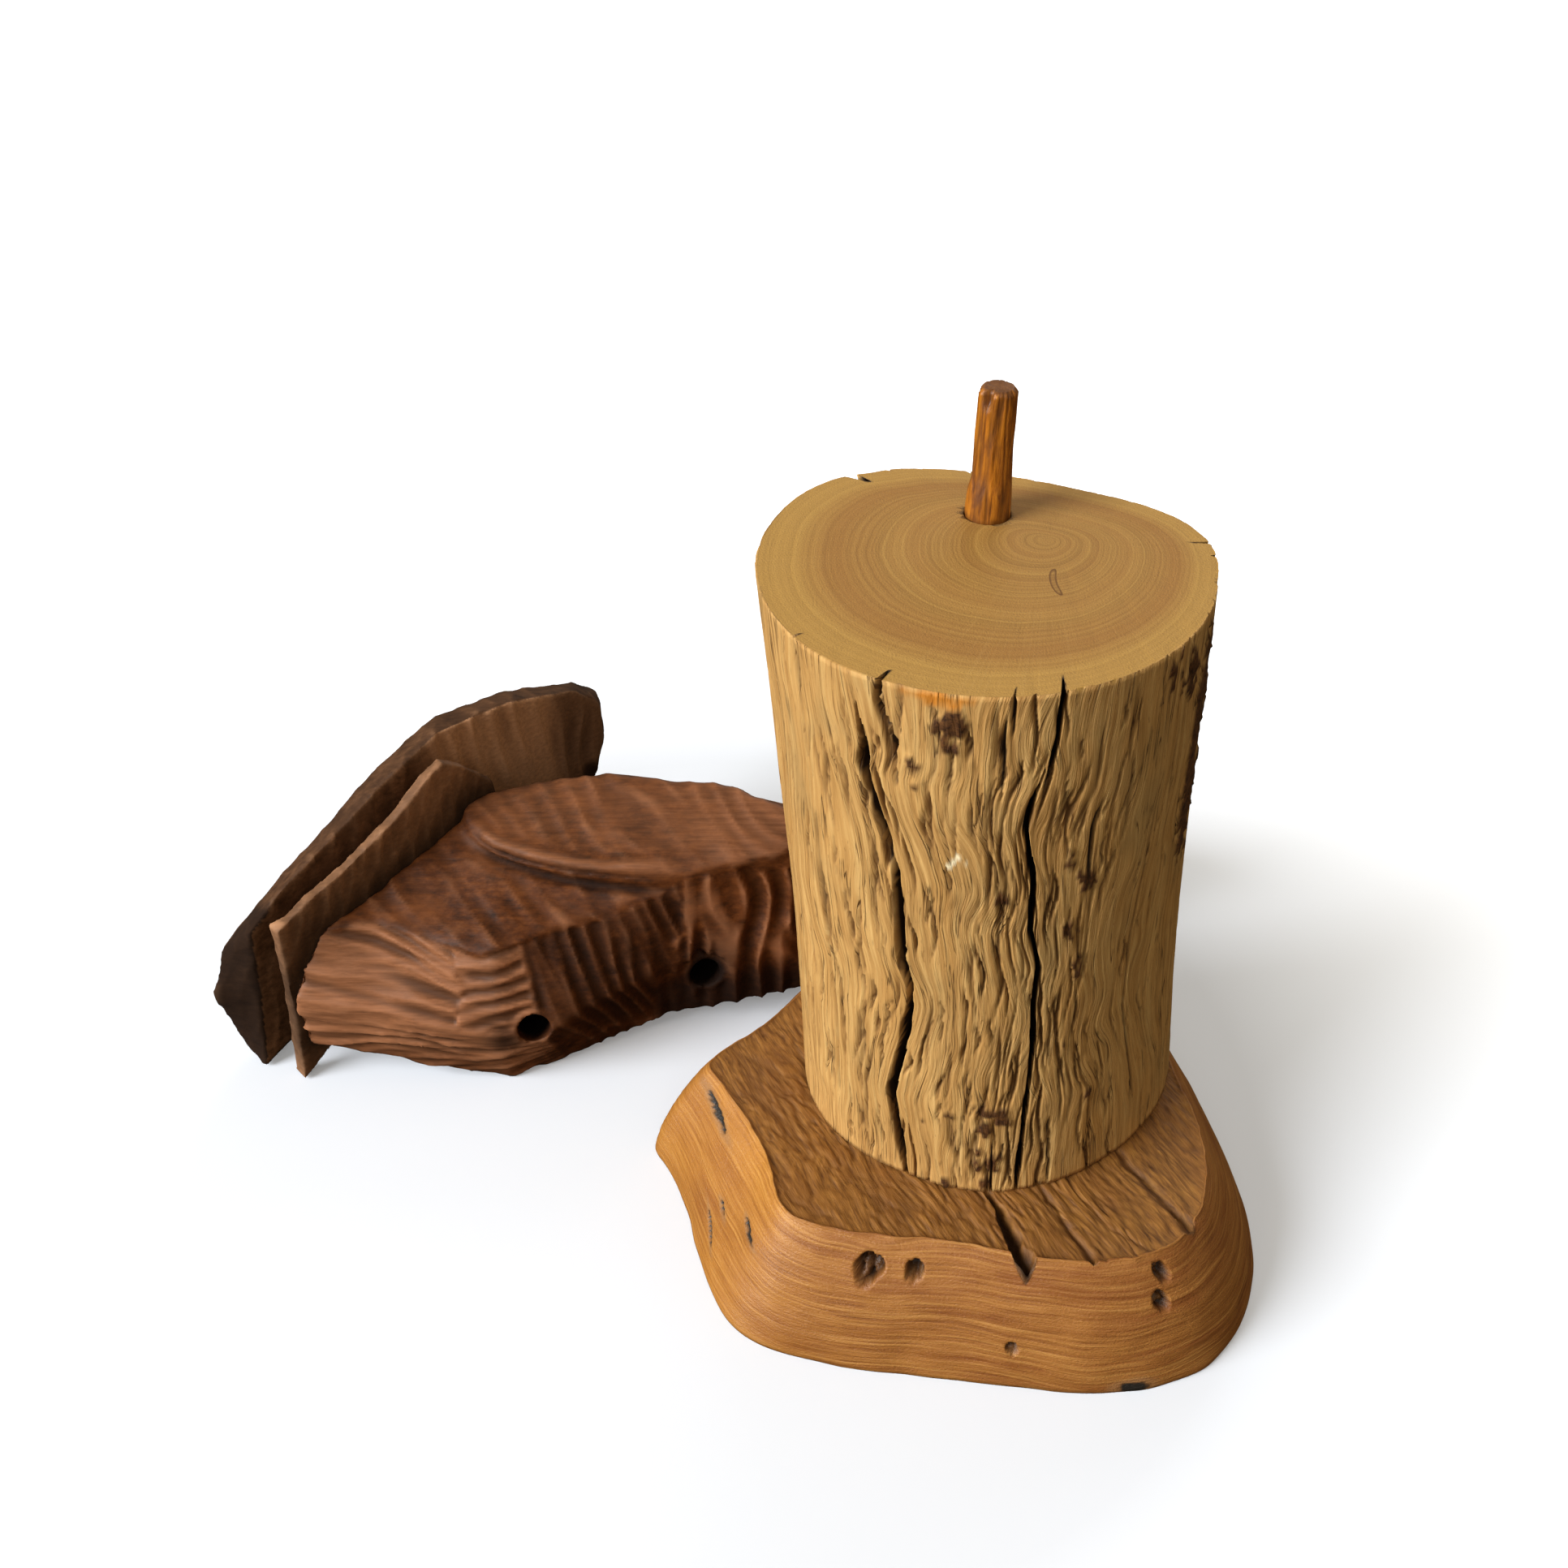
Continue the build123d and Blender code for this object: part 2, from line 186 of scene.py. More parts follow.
def ring_faces(rings, size):
    """Faces between rings of points, with a fan to one last point at each end."""
    i, j = np.meshgrid(np.arange(rings - 1), np.arange(size), indexing="ij")
    after = (j + 1) % size
    quads = np.stack([i * size + j, i * size + after, (i + 1) * size + after, (i + 1) * size + j], -1)
    first, last = rings * size, rings * size + 1
    top = (rings - 1) * size
    fans = [(first, (k + 1) % size, k) for k in range(size)]
    fans += [(last, top + k, top + (k + 1) % size) for k in range(size)]
    return quads.reshape(-1, 4).tolist() + fans


def closed(rings):
    """Ring values (rings, size, ...) as one row, with each end's middle added for its fan."""
    rings = np.asarray(rings, float)
    flat = rings.reshape((-1,) + rings.shape[2:])
    return np.concatenate([flat, [rings[0].mean(0)], [rings[-1].mean(0)]])


def arc(angle, other, radius):
    """The signed length between two angles in degrees, round a circle of the given radius."""
    return turn_between(angle, other) * math.radians(1) * radius


def on_cylinder(radius, turn, z):
    """Points at a radius from the Z axis, an angle in radians and a height."""
    return np.stack(np.broadcast_arrays(radius * np.cos(turn), radius * np.sin(turn), z), -1)


def shrunk(ring, middle, shares):
    """Smaller copies of a ring, towards a middle."""
    return np.array([middle + (ring - middle) * share for share in shares])


def carried_on(values, below, above):
    """The side's values, with the first and last ring repeated over the foot and the top."""
    return np.concatenate([np.repeat(values[:1], below, 0), values, np.repeat(values[-1:], above, 0)])


def whole_mark(values, below, above, top=0.0):
    """A mark for every point of a piece: 0 on the foot, then the side's values, then the top's."""
    size = values.shape[1]
    on_top = np.broadcast_to(top, (above, size))
    return closed(np.concatenate([np.zeros((below, size)), values, on_top]))


def merge_doubles(obj):
    """Joins points that lie together and drops faces with no area."""
    work = bmesh.new()
    work.from_mesh(obj.data)
    bmesh.ops.remove_doubles(work, verts=work.verts, dist=DOUBLES_APART)
    bmesh.ops.dissolve_degenerate(work, edges=work.edges, dist=DOUBLES_APART)
    work.to_mesh(obj.data)
    work.free()


def drill(obj, place, radius, low, high, sides=64):
    """Cuts an upright round hole in obj, from low to high, all in mm."""
    turns = circle_turns(sides)
    circle = np.stack([place[0] + radius * np.cos(turns), place[1] + radius * np.sin(turns)], 1)
    points = [(x, y, z) for z in (low, high) for x, y in circle]
    walls = [(k, (k + 1) % sides, sides + (k + 1) % sides, sides + k) for k in range(sides)]
    ends = [tuple(range(sides))[::-1], tuple(range(sides, 2 * sides))]
    mesh = bpy.data.meshes.new("drill")
    mesh.from_pydata((np.array(points) * MM).tolist(), [], walls + ends)
    cutter = linked("drill", mesh)
    cut = obj.modifiers.new("hole", "BOOLEAN")
    cut.operation = "DIFFERENCE"
    cut.solver = "EXACT"
    cut.object = cutter
    made = evaluated_mesh(obj)
    obj.modifiers.remove(cut)
    obj.data = made
    bpy.data.objects.remove(cutter)


# ---- materials ----------------------------------------------------------------------------------
def srgb(red, green, blue):
    """A colour from 8-bit screen values to the linear ones that a shader takes."""
    shares = [c / 255 for c in (red, green, blue)]
    return tuple(c / 12.92 if c <= 0.04045 else ((c + 0.055) / 1.055) ** 2.4 for c in shares) + (1.0,)


class Nodes:
    """Short ways to add nodes to a node tree. Each way returns a socket."""

    def __init__(self, tree):
        self.nodes = tree.nodes
        self.links = tree.links

    def add(self, kind, feeds, **settings):
        """A new node, its sockets fed with other sockets or plain values."""
        node = self.nodes.new("ShaderNode" + kind)
        for key, value in settings.items():
            setattr(node, key, value)
        for socket, value in feeds.items():
            self.feed(node.inputs[socket], value)
        return node

    def feed(self, socket, value):
        if isinstance(value, bpy.types.NodeSocket):
            self.links.new(value, socket)
        else:
            socket.default_value = value

    def mark(self, name):
        return self.add("Attribute", {}, attribute_name=name).outputs["Fac"]

    def mark_vector(self, name):
        return self.add("Attribute", {}, attribute_name=name).outputs["Vector"]

    def place(self):
        """The point on the piece, in metres, which moves with the piece."""
        return self.add("TexCoord", {}).outputs["Object"]

    def stretched(self, vector, cell, turn=(0, 0, 0)):
        """vector in cells of the given size. cell is in the vector's own unit."""
        scale = tuple(1 / c for c in cell)
        feeds = {"Vector": vector, "Scale": scale, "Rotation": turn}
        return self.add("Mapping", feeds).outputs["Vector"]

    def noise(self, vector, detail=2.0, roughness=0.5):
        feeds = {"Vector": vector, "Scale": 1.0, "Detail": detail, "Roughness": roughness}
        return self.add("TexNoise", feeds).outputs["Fac"]

    def figure(self, vector, cell, detail=2.0, roughness=0.5):
        """Noise in cells of the given size."""
        return self.noise(self.stretched(vector, cell), detail, roughness)

    def calculate(self, operation, first, second=0.0):
        return self.add("Math", {0: first, 1: second}, operation=operation).outputs[0]

    def plus(self, first, second):
        return self.calculate("ADD", first, second)

    def minus(self, first, second):
        return self.calculate("SUBTRACT", first, second)

    def times(self, first, second):
        return self.calculate("MULTIPLY", first, second)

    def ramp(self, value, stops):
        """Colours between stops of (place, colour)."""
        node = self.add("ValToRGB", {"Fac": value})
        elements = node.color_ramp.elements
        while len(elements) < len(stops):
            elements.new(1.0)
        for element, (place, colour) in zip(elements, stops):
            element.position = place
            element.color = colour
        return node.outputs["Color"]

    def wood(self, value, places, *colours):
        """Three wood colours, dark to light, at three places of value."""
        return self.ramp(value, [(place, srgb(*colour)) for place, colour in zip(places, colours)])

    def levels(self, value, low, high, out_low=0.0, out_high=1.0):
        feeds = {"Value": value, "From Min": low, "From Max": high, "To Min": out_low, "To Max": out_high}
        return self.add("MapRange", feeds).outputs["Result"]

    def mix(self, amount, first, second):
        node = self.add("Mix", {}, data_type="RGBA")
        self.feed(node.inputs[0], amount)
        self.feed(node.inputs[6], first)
        self.feed(node.inputs[7], second)
        return node.outputs[2]

    def tint(self, base, value, span, amount, colour):
        """base, with up to amount of a colour as value passes through span."""
        return self.mix(self.levels(value, *span, 0, amount), base, colour)


class Paint(Nodes):
    """A material."""

    def __init__(self, name, roughness, specular=0.5, metallic=0.0):
        self.material = bpy.data.materials.new(name)
        self.material.use_nodes = True
        super().__init__(self.material.node_tree)
        self.inputs = self.nodes["Principled BSDF"].inputs
        self.inputs["Roughness"].default_value = roughness
        self.inputs["Specular IOR Level"].default_value = specular
        self.inputs["Metallic"].default_value = metallic

    def finish(self, colour, height, relief, roughness=None):
        """Feeds the colour, a bump from height in mm, and a roughness that changes over the surface."""
        bump = self.add("Bump", {"Height": height, "Distance": relief * MM, "Strength": 1.0})
        self.feed(self.inputs["Base Color"], colour)
        self.feed(self.inputs["Normal"], bump.outputs["Normal"])
        if roughness is not None:
            self.feed(self.inputs["Roughness"], roughness)
        return self.material


SCAR = (15.6, -3.4)  # middle of a small curved scar on the log's top
SCAR_HALF = 6.6
SCAR_WIDTH = 0.9
SCAR_BOW = 1.1


def scar_outline(p, place):
    """A narrow dark line round a small curved scar near the middle of the log's top."""
    axes = p.add("SeparateXYZ", {0: place}).outputs
    along = p.calculate("DIVIDE", p.minus(axes["Y"], SCAR[1] * MM), SCAR_HALF * MM)
    square = p.times(along, along)
    bow = p.times(square, SCAR_BOW * MM)
    aside = p.minus(p.minus(axes["X"], SCAR[0] * MM), bow)
    across = p.calculate("DIVIDE", aside, SCAR_WIDTH * MM)
    far_along = p.times(square, p.times(square, square))
    apart = p.plus(far_along, p.times(across, across))
    rim = p.times(p.levels(apart, 1.25, 1.0), p.levels(apart, 0.15, 0.6, 0.25, 1.0))
    return p.times(rim, 0.85)


# Marks on a mesh are in mm or from 0 to 1. "grain" is a point that keeps to one fibre of the wood.
def log_side(p, grain):
    """The colour of the log's weathered side, and the height of its fibres."""
    streaks = p.figure(grain, (1.1, 1.1, 38), 4, 0.6)
    bands = p.figure(grain, (7, 7, 60), 2, 0.5)
    clouds = p.figure(grain, (16, 16, 30), 3, 0.55)
    wood = p.wood(streaks, (0.3, 0.5, 0.72), (160, 118, 63), (196, 151, 88), (218, 178, 112))
    wood = p.tint(wood, bands, (0.45, 0.75), 0.5, srgb(175, 126, 63))
    wood = p.tint(wood, clouds, (0.5, 0.72), 0.55, srgb(170, 138, 86))
    # Painted shade in the furrows and short cracks.
    wood = p.mix(p.mark("hollow"), wood, srgb(85, 54, 22))
    # Hairline cracks, here and there, painted dark as the shade in them.
    threads = p.figure(grain, (1.7, 1.7, 60), 2, 0.5)
    where = p.figure(grain, (3.5, 3.5, 16), 2)
    off_line = p.calculate("ABSOLUTE", p.minus(threads, 0.5))
    thin = p.times(p.levels(off_line, 0.016, 0.002), p.levels(where, 0.46, 0.6))
    wood = p.mix(p.times(thin, 0.8), wood, srgb(82, 52, 22))
    specks = p.figure(grain, (0.7, 0.7, 5), 3, 0.7)
    wood = p.tint(wood, specks, (0.62, 0.7), 0.5, srgb(122, 85, 41))
    crumbs = p.figure(grain, (1.4, 1.4, 1.6), 4, 0.75)
    bark = p.ramp(crumbs, [(0.35, srgb(49, 27, 11)), (0.65, srgb(105, 67, 32))])
    wood = p.mix(p.mark("bark"), wood, bark)
    wood = p.mix(p.mark("stain"), wood, srgb(193, 122, 38))
    wood = p.mix(p.mark("fleck"), wood, srgb(243, 229, 190))
    # Painted shade inside the drying checks.
    wood = p.mix(p.mark("check"), wood, srgb(35, 20, 8))
    fibres = p.figure(grain, (0.45, 0.45, 9), 3, 0.6)
    height = p.minus(p.plus(fibres, p.times(streaks, 0.6)), thin)
    return wood, height


def log_end(p, place):
    """The sawn end: growth rings, a browner heart and a paler outer band. Colour and height."""
    ring = p.mark("ring")
    wander = p.figure(place, (0.024, 0.024, 0.024), 2)
    drift = p.plus(ring, p.times(wander, 1.6))
    shift = p.times(p.figure(place, (0.03, 0.03, 0.03), 1), 0.7)

    def ring_figure(fineness, detail, roughness):
        across = p.add("CombineXYZ", {"X": p.times(drift, fineness), "Y": shift})
        return p.noise(across.outputs[0], detail, roughness)

    fine = ring_figure(1.5, 3, 0.6)
    broad = ring_figure(0.24, 2, 0.5)
    end = p.wood(fine, (0.32, 0.5, 0.7), (141, 103, 48), (159, 119, 58), (172, 132, 67))
    end = p.tint(end, broad, (0.42, 0.66), 0.4, srgb(157, 111, 54))
    outer_band = p.levels(ring, 34.0, 41.0)
    end = p.mix(p.times(outer_band, 0.55), end, srgb(183, 144, 73))
    edge_of_heart = p.times(p.levels(ring, 26.0, 35.5), p.levels(ring, 40.0, 36.0))
    end = p.mix(p.times(edge_of_heart, 0.42), end, srgb(148, 102, 47))
    pores = p.figure(place, (0.0005, 0.0005, 0.0005), 1)
    end = p.tint(end, pores, (0.58, 0.75), 0.22, srgb(123, 86, 39))
    rays = p.figure(p.mark_vector("spoke"), (0.35, 0.35, 30), 2)
    end = p.tint(end, rays, (0.5, 0.75), 0.15, srgb(190, 152, 90))
    end = p.mix(scar_outline(p, place), end, srgb(96, 60, 24))
    # Painted shade inside the checks where they reach the top.
    end = p.mix(p.mark("check"), end, srgb(36, 20, 7))
    return end, p.plus(p.times(pores, 0.4), p.times(fine, 0.25))


def log_material():
    p = Paint("log_wood", 0.72, 0.3)
    side, side_height = log_side(p, p.mark_vector("grain"))
    end, end_height = log_end(p, p.place())
    colour = p.mix(p.mark("sawn"), side, end)
    height = p.mix(p.mark("sawn"), side_height, end_height)
    return p.finish(colour, height, 0.4)


def slab_material():
    p = Paint("slab_wood", 0.5, 0.42)
    place = p.place()
    # The bevelled edge shows growth layers as fine lines that run round it.
    layer = p.mark_vector("layer")
    lines = p.figure(layer, (26, 26, 0.62), 4, 0.68)
    bands = p.figure(layer, (50, 50, 4.5), 3, 0.55)
    clouds = p.figure(layer, (16, 16, 7), 3, 0.6)
    side = p.wood(lines, (0.3, 0.52, 0.72), (118, 68, 25), (157, 102, 46), (184, 131, 68))
    glints = p.figure(layer, (70, 70, 1.0), 2, 0.5)
    side = p.tint(side, glints, (0.55, 0.66), 0.5, srgb(196, 143, 76))
    side = p.tint(side, bands, (0.48, 0.66), 0.6, srgb(126, 68, 27))
    side = p.tint(side, clouds, (0.5, 0.72), 0.55, srgb(171, 116, 55))
    # Painted light: the side that faces the key lamp is painted lighter and more golden.
    lit_gold_wood = p.wood(lines, (0.3, 0.52, 0.72), (158, 102, 38), (185, 126, 51), (204, 150, 75))
    side = p.mix(p.mark("lit_gold"), side, lit_gold_wood)
    # Painted shade in the slits in the edge, and a dark stain where a slit is too low to be cut.
    side = p.mix(p.mark("slit_shade_and_stain"), side, srgb(38, 34, 30))
    side = p.mix(p.mark("halo"), side, srgb(150, 112, 74))
    # The top is rough from the saw, along its own grain.
    along = p.mark_vector("along")
    strokes = p.figure(along, (7, 0.9, 3), 4, 0.65)
    patches = p.figure(along, (30, 9, 9), 2)
    top = p.wood(strokes, (0.32, 0.5, 0.72), (94, 57, 16), (137, 90, 33), (166, 116, 49))
    top = p.tint(top, patches, (0.42, 0.68), 0.55, srgb(122, 75, 24))
    colour = p.mix(p.mark("sawn"), side, top)
    # Painted shade in the beetle holes, the split and the torn hollows of the top.
    colour = p.mix(p.mark("hollow"), colour, srgb(40, 22, 9))
    fine = p.figure(place, (0.0009, 0.0009, 0.0004), 3, 0.6)
    height = p.mix(p.mark("sawn"), p.plus(lines, fine), strokes)
    rough = p.levels(p.mark("sawn"), 0, 1, 0.42, 0.68)
    return p.finish(colour, height, 0.28, rough)


def peg_material():
    p = Paint("peg_wood", 0.42, 0.5)
    place = p.place()
    fibres = p.figure(place, (0.0009, 0.0009, 0.014), 4, 0.7)
    blots = p.figure(place, (0.0035, 0.0035, 0.009), 3, 0.6)
    colour = p.wood(fibres, (0.3, 0.48, 0.7), (84, 42, 6), (163, 97, 22), (198, 128, 36))
    colour = p.tint(colour, blots, (0.5, 0.66), 0.75, srgb(102, 53, 10))
    colour = p.mix(p.mark("sawn"), colour, srgb(98, 58, 20))
    # Darker in the torn fibres and the chip, with painted shade where the peg goes into the hole.
    colour = p.mix(p.mark("hollow"), colour, srgb(80, 44, 18))
    rough = p.plus(p.levels(blots, 0.4, 0.7, 0.32, 0.55), p.times(p.mark("sawn"), 0.5))
    return p.finish(colour, fibres, 0.3, rough)


def carved_material(name, dark, middle, light, wear_and_highlight, roughness):
    """Oiled carved wood: painted shade in the hollows, ridges lighter from wear and a painted highlight."""
    p = Paint(name, roughness, 0.17)
    place = p.place()
    fibres = p.noise(p.stretched(place, (0.02, 0.0012, 0.0012), (0, 0, 0.06)), 4, 0.6)
    bands = p.figure(place, (0.07, 0.008, 0.008), 3, 0.5)
    clouds = p.figure(place, (0.03, 0.024, 0.024), 3, 0.6)
    mottle = p.figure(place, (0.005, 0.003, 0.003), 3, 0.6)
    mixed = p.plus(p.times(fibres, 0.25), p.times(mottle, 0.75))
    colour = p.ramp(mixed, [(0.3, dark), (0.5, middle), (0.72, light)])
    colour = p.tint(colour, bands, (0.5, 0.66), 0.2, dark)
    colour = p.tint(colour, clouds, (0.5, 0.7), 0.45, light)
    colour = p.tint(colour, p.mark("tone"), (0.6, 1.0), 0.35, dark)
    colour = p.tint(colour, p.mark("tone"), (0.4, 0.0), 0.3, light)
    soft_middle = tuple((a + b) / 2 for a, b in zip(middle, wear_and_highlight))
    # Where this mark is: painted highlight and painted light on lit places, over some paler wood.
    colour = p.mix(p.mark("lit_and_pale"), colour, p.mix(p.levels(fibres, 0.3, 0.7), soft_middle, wear_and_highlight))
    # The ridges take the lightest colour: wear, and a painted highlight.
    colour = p.mix(p.times(p.mark("ridge"), 0.75), colour, wear_and_highlight)
    # Painted shade in the gouged grooves.
    colour = p.mix(p.times(p.mark("groove"), 0.5), colour, dark)
    shadow = tuple(0.25 * c for c in dark[:3]) + (1.0,)
    colour = p.mix(p.mark("shade"), colour, shadow)
    chatter = p.figure(place, (0.002, 0.0011, 0.0011), 3, 0.6)
    height = p.plus(fibres, p.times(chatter, 0.4))
    rough = p.levels(clouds, 0.3, 0.7, roughness - 0.08, roughness + 0.08)
    rough = p.plus(rough, p.times(p.mark("shade"), 0.35))
    return p.finish(colour, height, 0.12, rough)


def steel_material():
    p = Paint("screw_steel", 0.34, 0.5, 1.0)
    scuffs = p.figure(p.place(), (0.0008, 0.0008, 0.004), 4, 0.6)
    colour = p.ramp(scuffs, [(0.3, srgb(128, 122, 112)), (0.7, srgb(188, 184, 176))])
    return p.finish(colour, scuffs, 0.05, p.levels(scuffs, 0.3, 0.7, 0.28, 0.5))


# ---- log ----------------------------------------------------------------------------------------
LOG_LOW, LOG_HIGH = (corner.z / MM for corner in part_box("post_log"))
LOG_HEIGHT = LOG_HIGH - LOG_LOW
LOG_LEAN = 12.5  # the log's middle is this far along +X at its foot, and at 0 at its top
PITH = np.array([17.0, 19.0])  # middle of the growth rings
LOG_COLUMNS = 620
LOG_ROWS = 110
LOG_RADIUS = 50.0  # a round figure that turns angles into lengths for the grain
RING_REACH = 46.0  # the growth rings' marks run from 0 at the pith to this at the rim
PEG_HOLE_RADIUS = 6.6
FOOT_BAND = 2.0  # the points of the log's foot lie within this height
FOOT_RING_REACH = 35.0  # those of its side are further from the middle than this
# Where the columns of points lie closer together: angle, reach, and how many times closer.
LOG_FINE = [(238, 4.2, 2.6), (277, 4.6, 2.6), (121, 3.0, 2.0), (268.5, 1.6, 1.6), (84, 1.6, 1.8)]

# Lines that the grain follows up the log: (height, angle round it in degrees).
GRAIN_LINES = {
    "edge": [(0, 215), (57, 215.5), (98, 212), (127, 212), (180, 211)],
    "left": [
        (0, 239), (19, 236.5), (34, 234.5), (57, 239), (72, 241.5), (80, 241.5), (90, 239),
        (115, 239), (130, 237), (142, 233.5), (152, 231), (158, 232), (169, 230.5), (180, 229.5),
    ],
    "right": [
        (0, 274), (28, 276), (46, 277.5), (61, 278.5), (76, 278), (90, 279), (104, 276),
        (120, 276.5), (139, 273.5), (148, 275), (157, 278), (180, 280),
    ],
    "third": [(0, 296), (35, 297), (59, 291), (86, 293), (114, 293), (136, 293.5), (148, 297), (180, 299)],
    "far": [(0, 322), (18, 321), (62, 312), (91, 312.5), (116, 316.5), (138, 320), (180, 321)],
}
# Short cracks: middle angle, spread in degrees, count.
CRACK_REGIONS = [(272, 17, 170), (225, 14, 70), (315, 12, 16), (90, 75, 130)]
# Drying checks: route, lowest and highest point, half of the width, depth.
CHECKS = [
    (GRAIN_LINES["left"], -9, 171, 1.35, 10.0),
    ([(150, 240), (163, 240), (168, 238.5), (173, 236), (180, 237)], 149, 190, 0.85, 8.0),
    (GRAIN_LINES["right"], -6, 158, 0.95, 10.0),
    ([(150, 278), (166, 281), (180, 282)], 149, 190, 0.9, 8.0),
    (GRAIN_LINES["edge"], 20, 128, 0.55, 3.0),
    ([(140, 211.5), (180, 210)], 140, 190, 0.5, 4.0),
    ([(168, 269.5), (180, 269.5)], 168, 190, 0.8, 5.0),
    ([(148, 267), (180, 267.5)], 149, 177, 0.7, 3.5),
    (GRAIN_LINES["third"], 112, 149, 0.6, 3.0),
    (GRAIN_LINES["far"], 14, 140, 0.42, 2.0),
    ([(0, 266), (30, 266)], -9, 26, 0.6, 3.0),
    ([(0, 285), (40, 284)], -9, 34, 0.5, 2.5),
    ([(140, 17), (180, 16)], 152, 190, 0.5, 7.0),
    ([(150, 121), (180, 121)], 146, 190, 2.3, 9.0),
    ([(0, 85), (90, 82), (180, 86)], 20, 150, 1.1, 8.0),
    ([(0, 160), (70, 163), (180, 159)], 40, 172, 0.9, 7.0),
    ([(0, 38), (80, 41), (180, 40)], 10, 120, 0.8, 6.0),
]
# Left-over bark: angle, height and size of each patch.
BARK = [
    (317, 172, 4.5), (328, 168, 6), (256, 171, 4), (256, 164, 2.6), (248.5, 157, 2), (249, 151, 1.6),
    (267, 116, 2.2), (288, 126, 2.6), (294, 119, 3), (292, 122, 2), (289, 101, 3.2), (293, 88, 3.2),
    (291, 59, 1.5), (297, 33, 2), (264, 34, 3.2), (269, 32, 3), (265, 28, 2.6), (254, 32, 1.6),
    (267, 11, 4.5), (265, 5, 3), (251, 2, 2.4), (250, 10, 1.4), (263, 17, 1.6), (246, 26, 1.2),
]
BARK_STRIP = (341, 138, 6.0, 38.0)  # angle, height, reach across and up of the strip on the right
STAIN = (254, 178, 7.0, 2.6)  # the same for an orange stain at the top
FLECKS = [(254, 127), (255.5, 128.5), (257.5, 128), (259, 129.5), (257, 130.5)]
FLECK_SIZE = 0.9
KNOT = (259, 121, 9.0)  # a swelling that the grain runs round


def grain_turn(columns, heights):
    """How far each column is turned at each height, so that columns run along the checks."""
    anchors = {}
    for route in GRAIN_LINES.values():
        mean = float(np.mean(route_at(route, heights)))
        anchors[mean] = route_at(route, heights) - mean
    for angle in (15, 60, 105, 150, 190):
        spots = np.stack([np.full_like(heights, angle), heights, heights * 0], -1)
        anchors[float(angle)] = 1.6 * noise(spots, 34)
    known = sorted(anchors)
    table = np.array([anchors[k] for k in known])
    rows = [np.interp(columns, known, table[:, i], period=360) for i in range(len(heights))]
    return np.array(rows)


def short_cracks(columns, heights):
    """Depth in mm of the many short cracks that follow the grain."""
    depth = np.zeros((len(heights), len(columns)))
    rng = np.random.default_rng(21)
    for middle, reach, count in CRACK_REGIONS:
        for _ in range(count):
            angle = rng.normal(middle, reach)
            height = rng.uniform(2, 178)
            length = rng.uniform(7, 34)
            half = rng.uniform(0.34, 0.68)
            deep = rng.uniform(0.8, 2.4)
            slant = rng.normal(0, 0.05)
            wave = rng.uniform(0.2, 0.8)
            rows = np.nonzero(np.abs(heights - height) < length / 2)[0]
            if len(rows) == 0:
                continue
            along = (heights[rows] - height) / (length / 2)
            centre = angle + slant * (heights[rows] - height) + wave * np.sin(along * 4 + angle)
            across = arc(columns[None, :], centre[:, None], LOG_RADIUS)
            taper = (1 - along**2)[:, None]
            shape = np.clip(1 - np.abs(across) / (half * taper**0.5 + 1e-3), 0, 1) ** 0.8
            depth[rows] = np.maximum(depth[rows], deep * taper * shape)
    return depth


def log_outline(angles, heights):
    """How far the log's plain side is from its middle, read from the CAD with the checks filtered out."""
    tree = cad_tree("post_log")
    probe = np.arange(0, 360, 2.0)
    levels = np.linspace(0.5, LOG_HEIGHT - 0.5, 19)
    outline = []
    for level in levels:
        reach = cad_reach(tree, (log_middle(level), 0), probe, LOG_LOW + level)
        reach = np.median([np.roll(reach, k) for k in range(-4, 5)], axis=0)
        outline.append((np.roll(reach, 1) + 2 * reach + np.roll(reach, -1)) / 4)
    by_level = np.array([np.interp(heights, levels, reaches) for reaches in np.transpose(outline)]).T
    return np.array([np.interp(a, probe, row, period=360) for a, row in zip(angles % 360, by_level)])


def log_middle(height):
    return LOG_LEAN * (1 - height / LOG_HEIGHT)


def log_grain(flat, columns, heights):
    """Each side point's place in straight grain, its place in grain bent round the knot, and the knot."""
    grain = on_cylinder(LOG_RADIUS, flat, heights[:, None])
    knot_angle, knot_height, knot_size = KNOT
    side = arc(columns, knot_angle, LOG_RADIUS)[None, :]
    knot = bell(np.hypot(side, (heights[:, None] - knot_height) / 1.3), 0, knot_size)
    tangent = np.stack([-np.sin(flat), np.cos(flat), 0 * flat], -1)
    bent = grain + tangent * (-0.38 * side * knot)[..., None]
    warp = 2.6 * noise(bent, (13, 13, 24)) + 1.2 * noise(bent, (5, 5, 12), 9)
    return grain, bent + tangent * warp[..., None], knot


def log_furrows(columns, grain, bent):
    """Depth of the wavy furrows between the fibres, and of the broader swellings."""
    front = around(columns, 272, 27)
    left = around(columns, 215, 24)
    right = around(columns, 322, 18)
    rough = 0.34 + 0.24 * front - 0.1 * left - 0.18 * right
    rough = rough[None, :] * (0.75 + 0.45 * noise(grain, (22, 22, 40), 4))
    wavy = 0.75 * fissures(noise(bent, (3.6, 3.6, 34), 2), 0.15) ** 1.2
    wavy += 0.4 * fissures(noise(bent, (2.0, 2.0, 17), 5), 0.2) ** 1.2
    swelling = 0.7 * noise(bent, (9, 9, 40), 7) * rough + 0.9 * noise(grain, (30, 30, 60), 3)
    return rough * wavy, swelling + 0.13 * noise(bent, (0.9, 0.9, 14), 1)


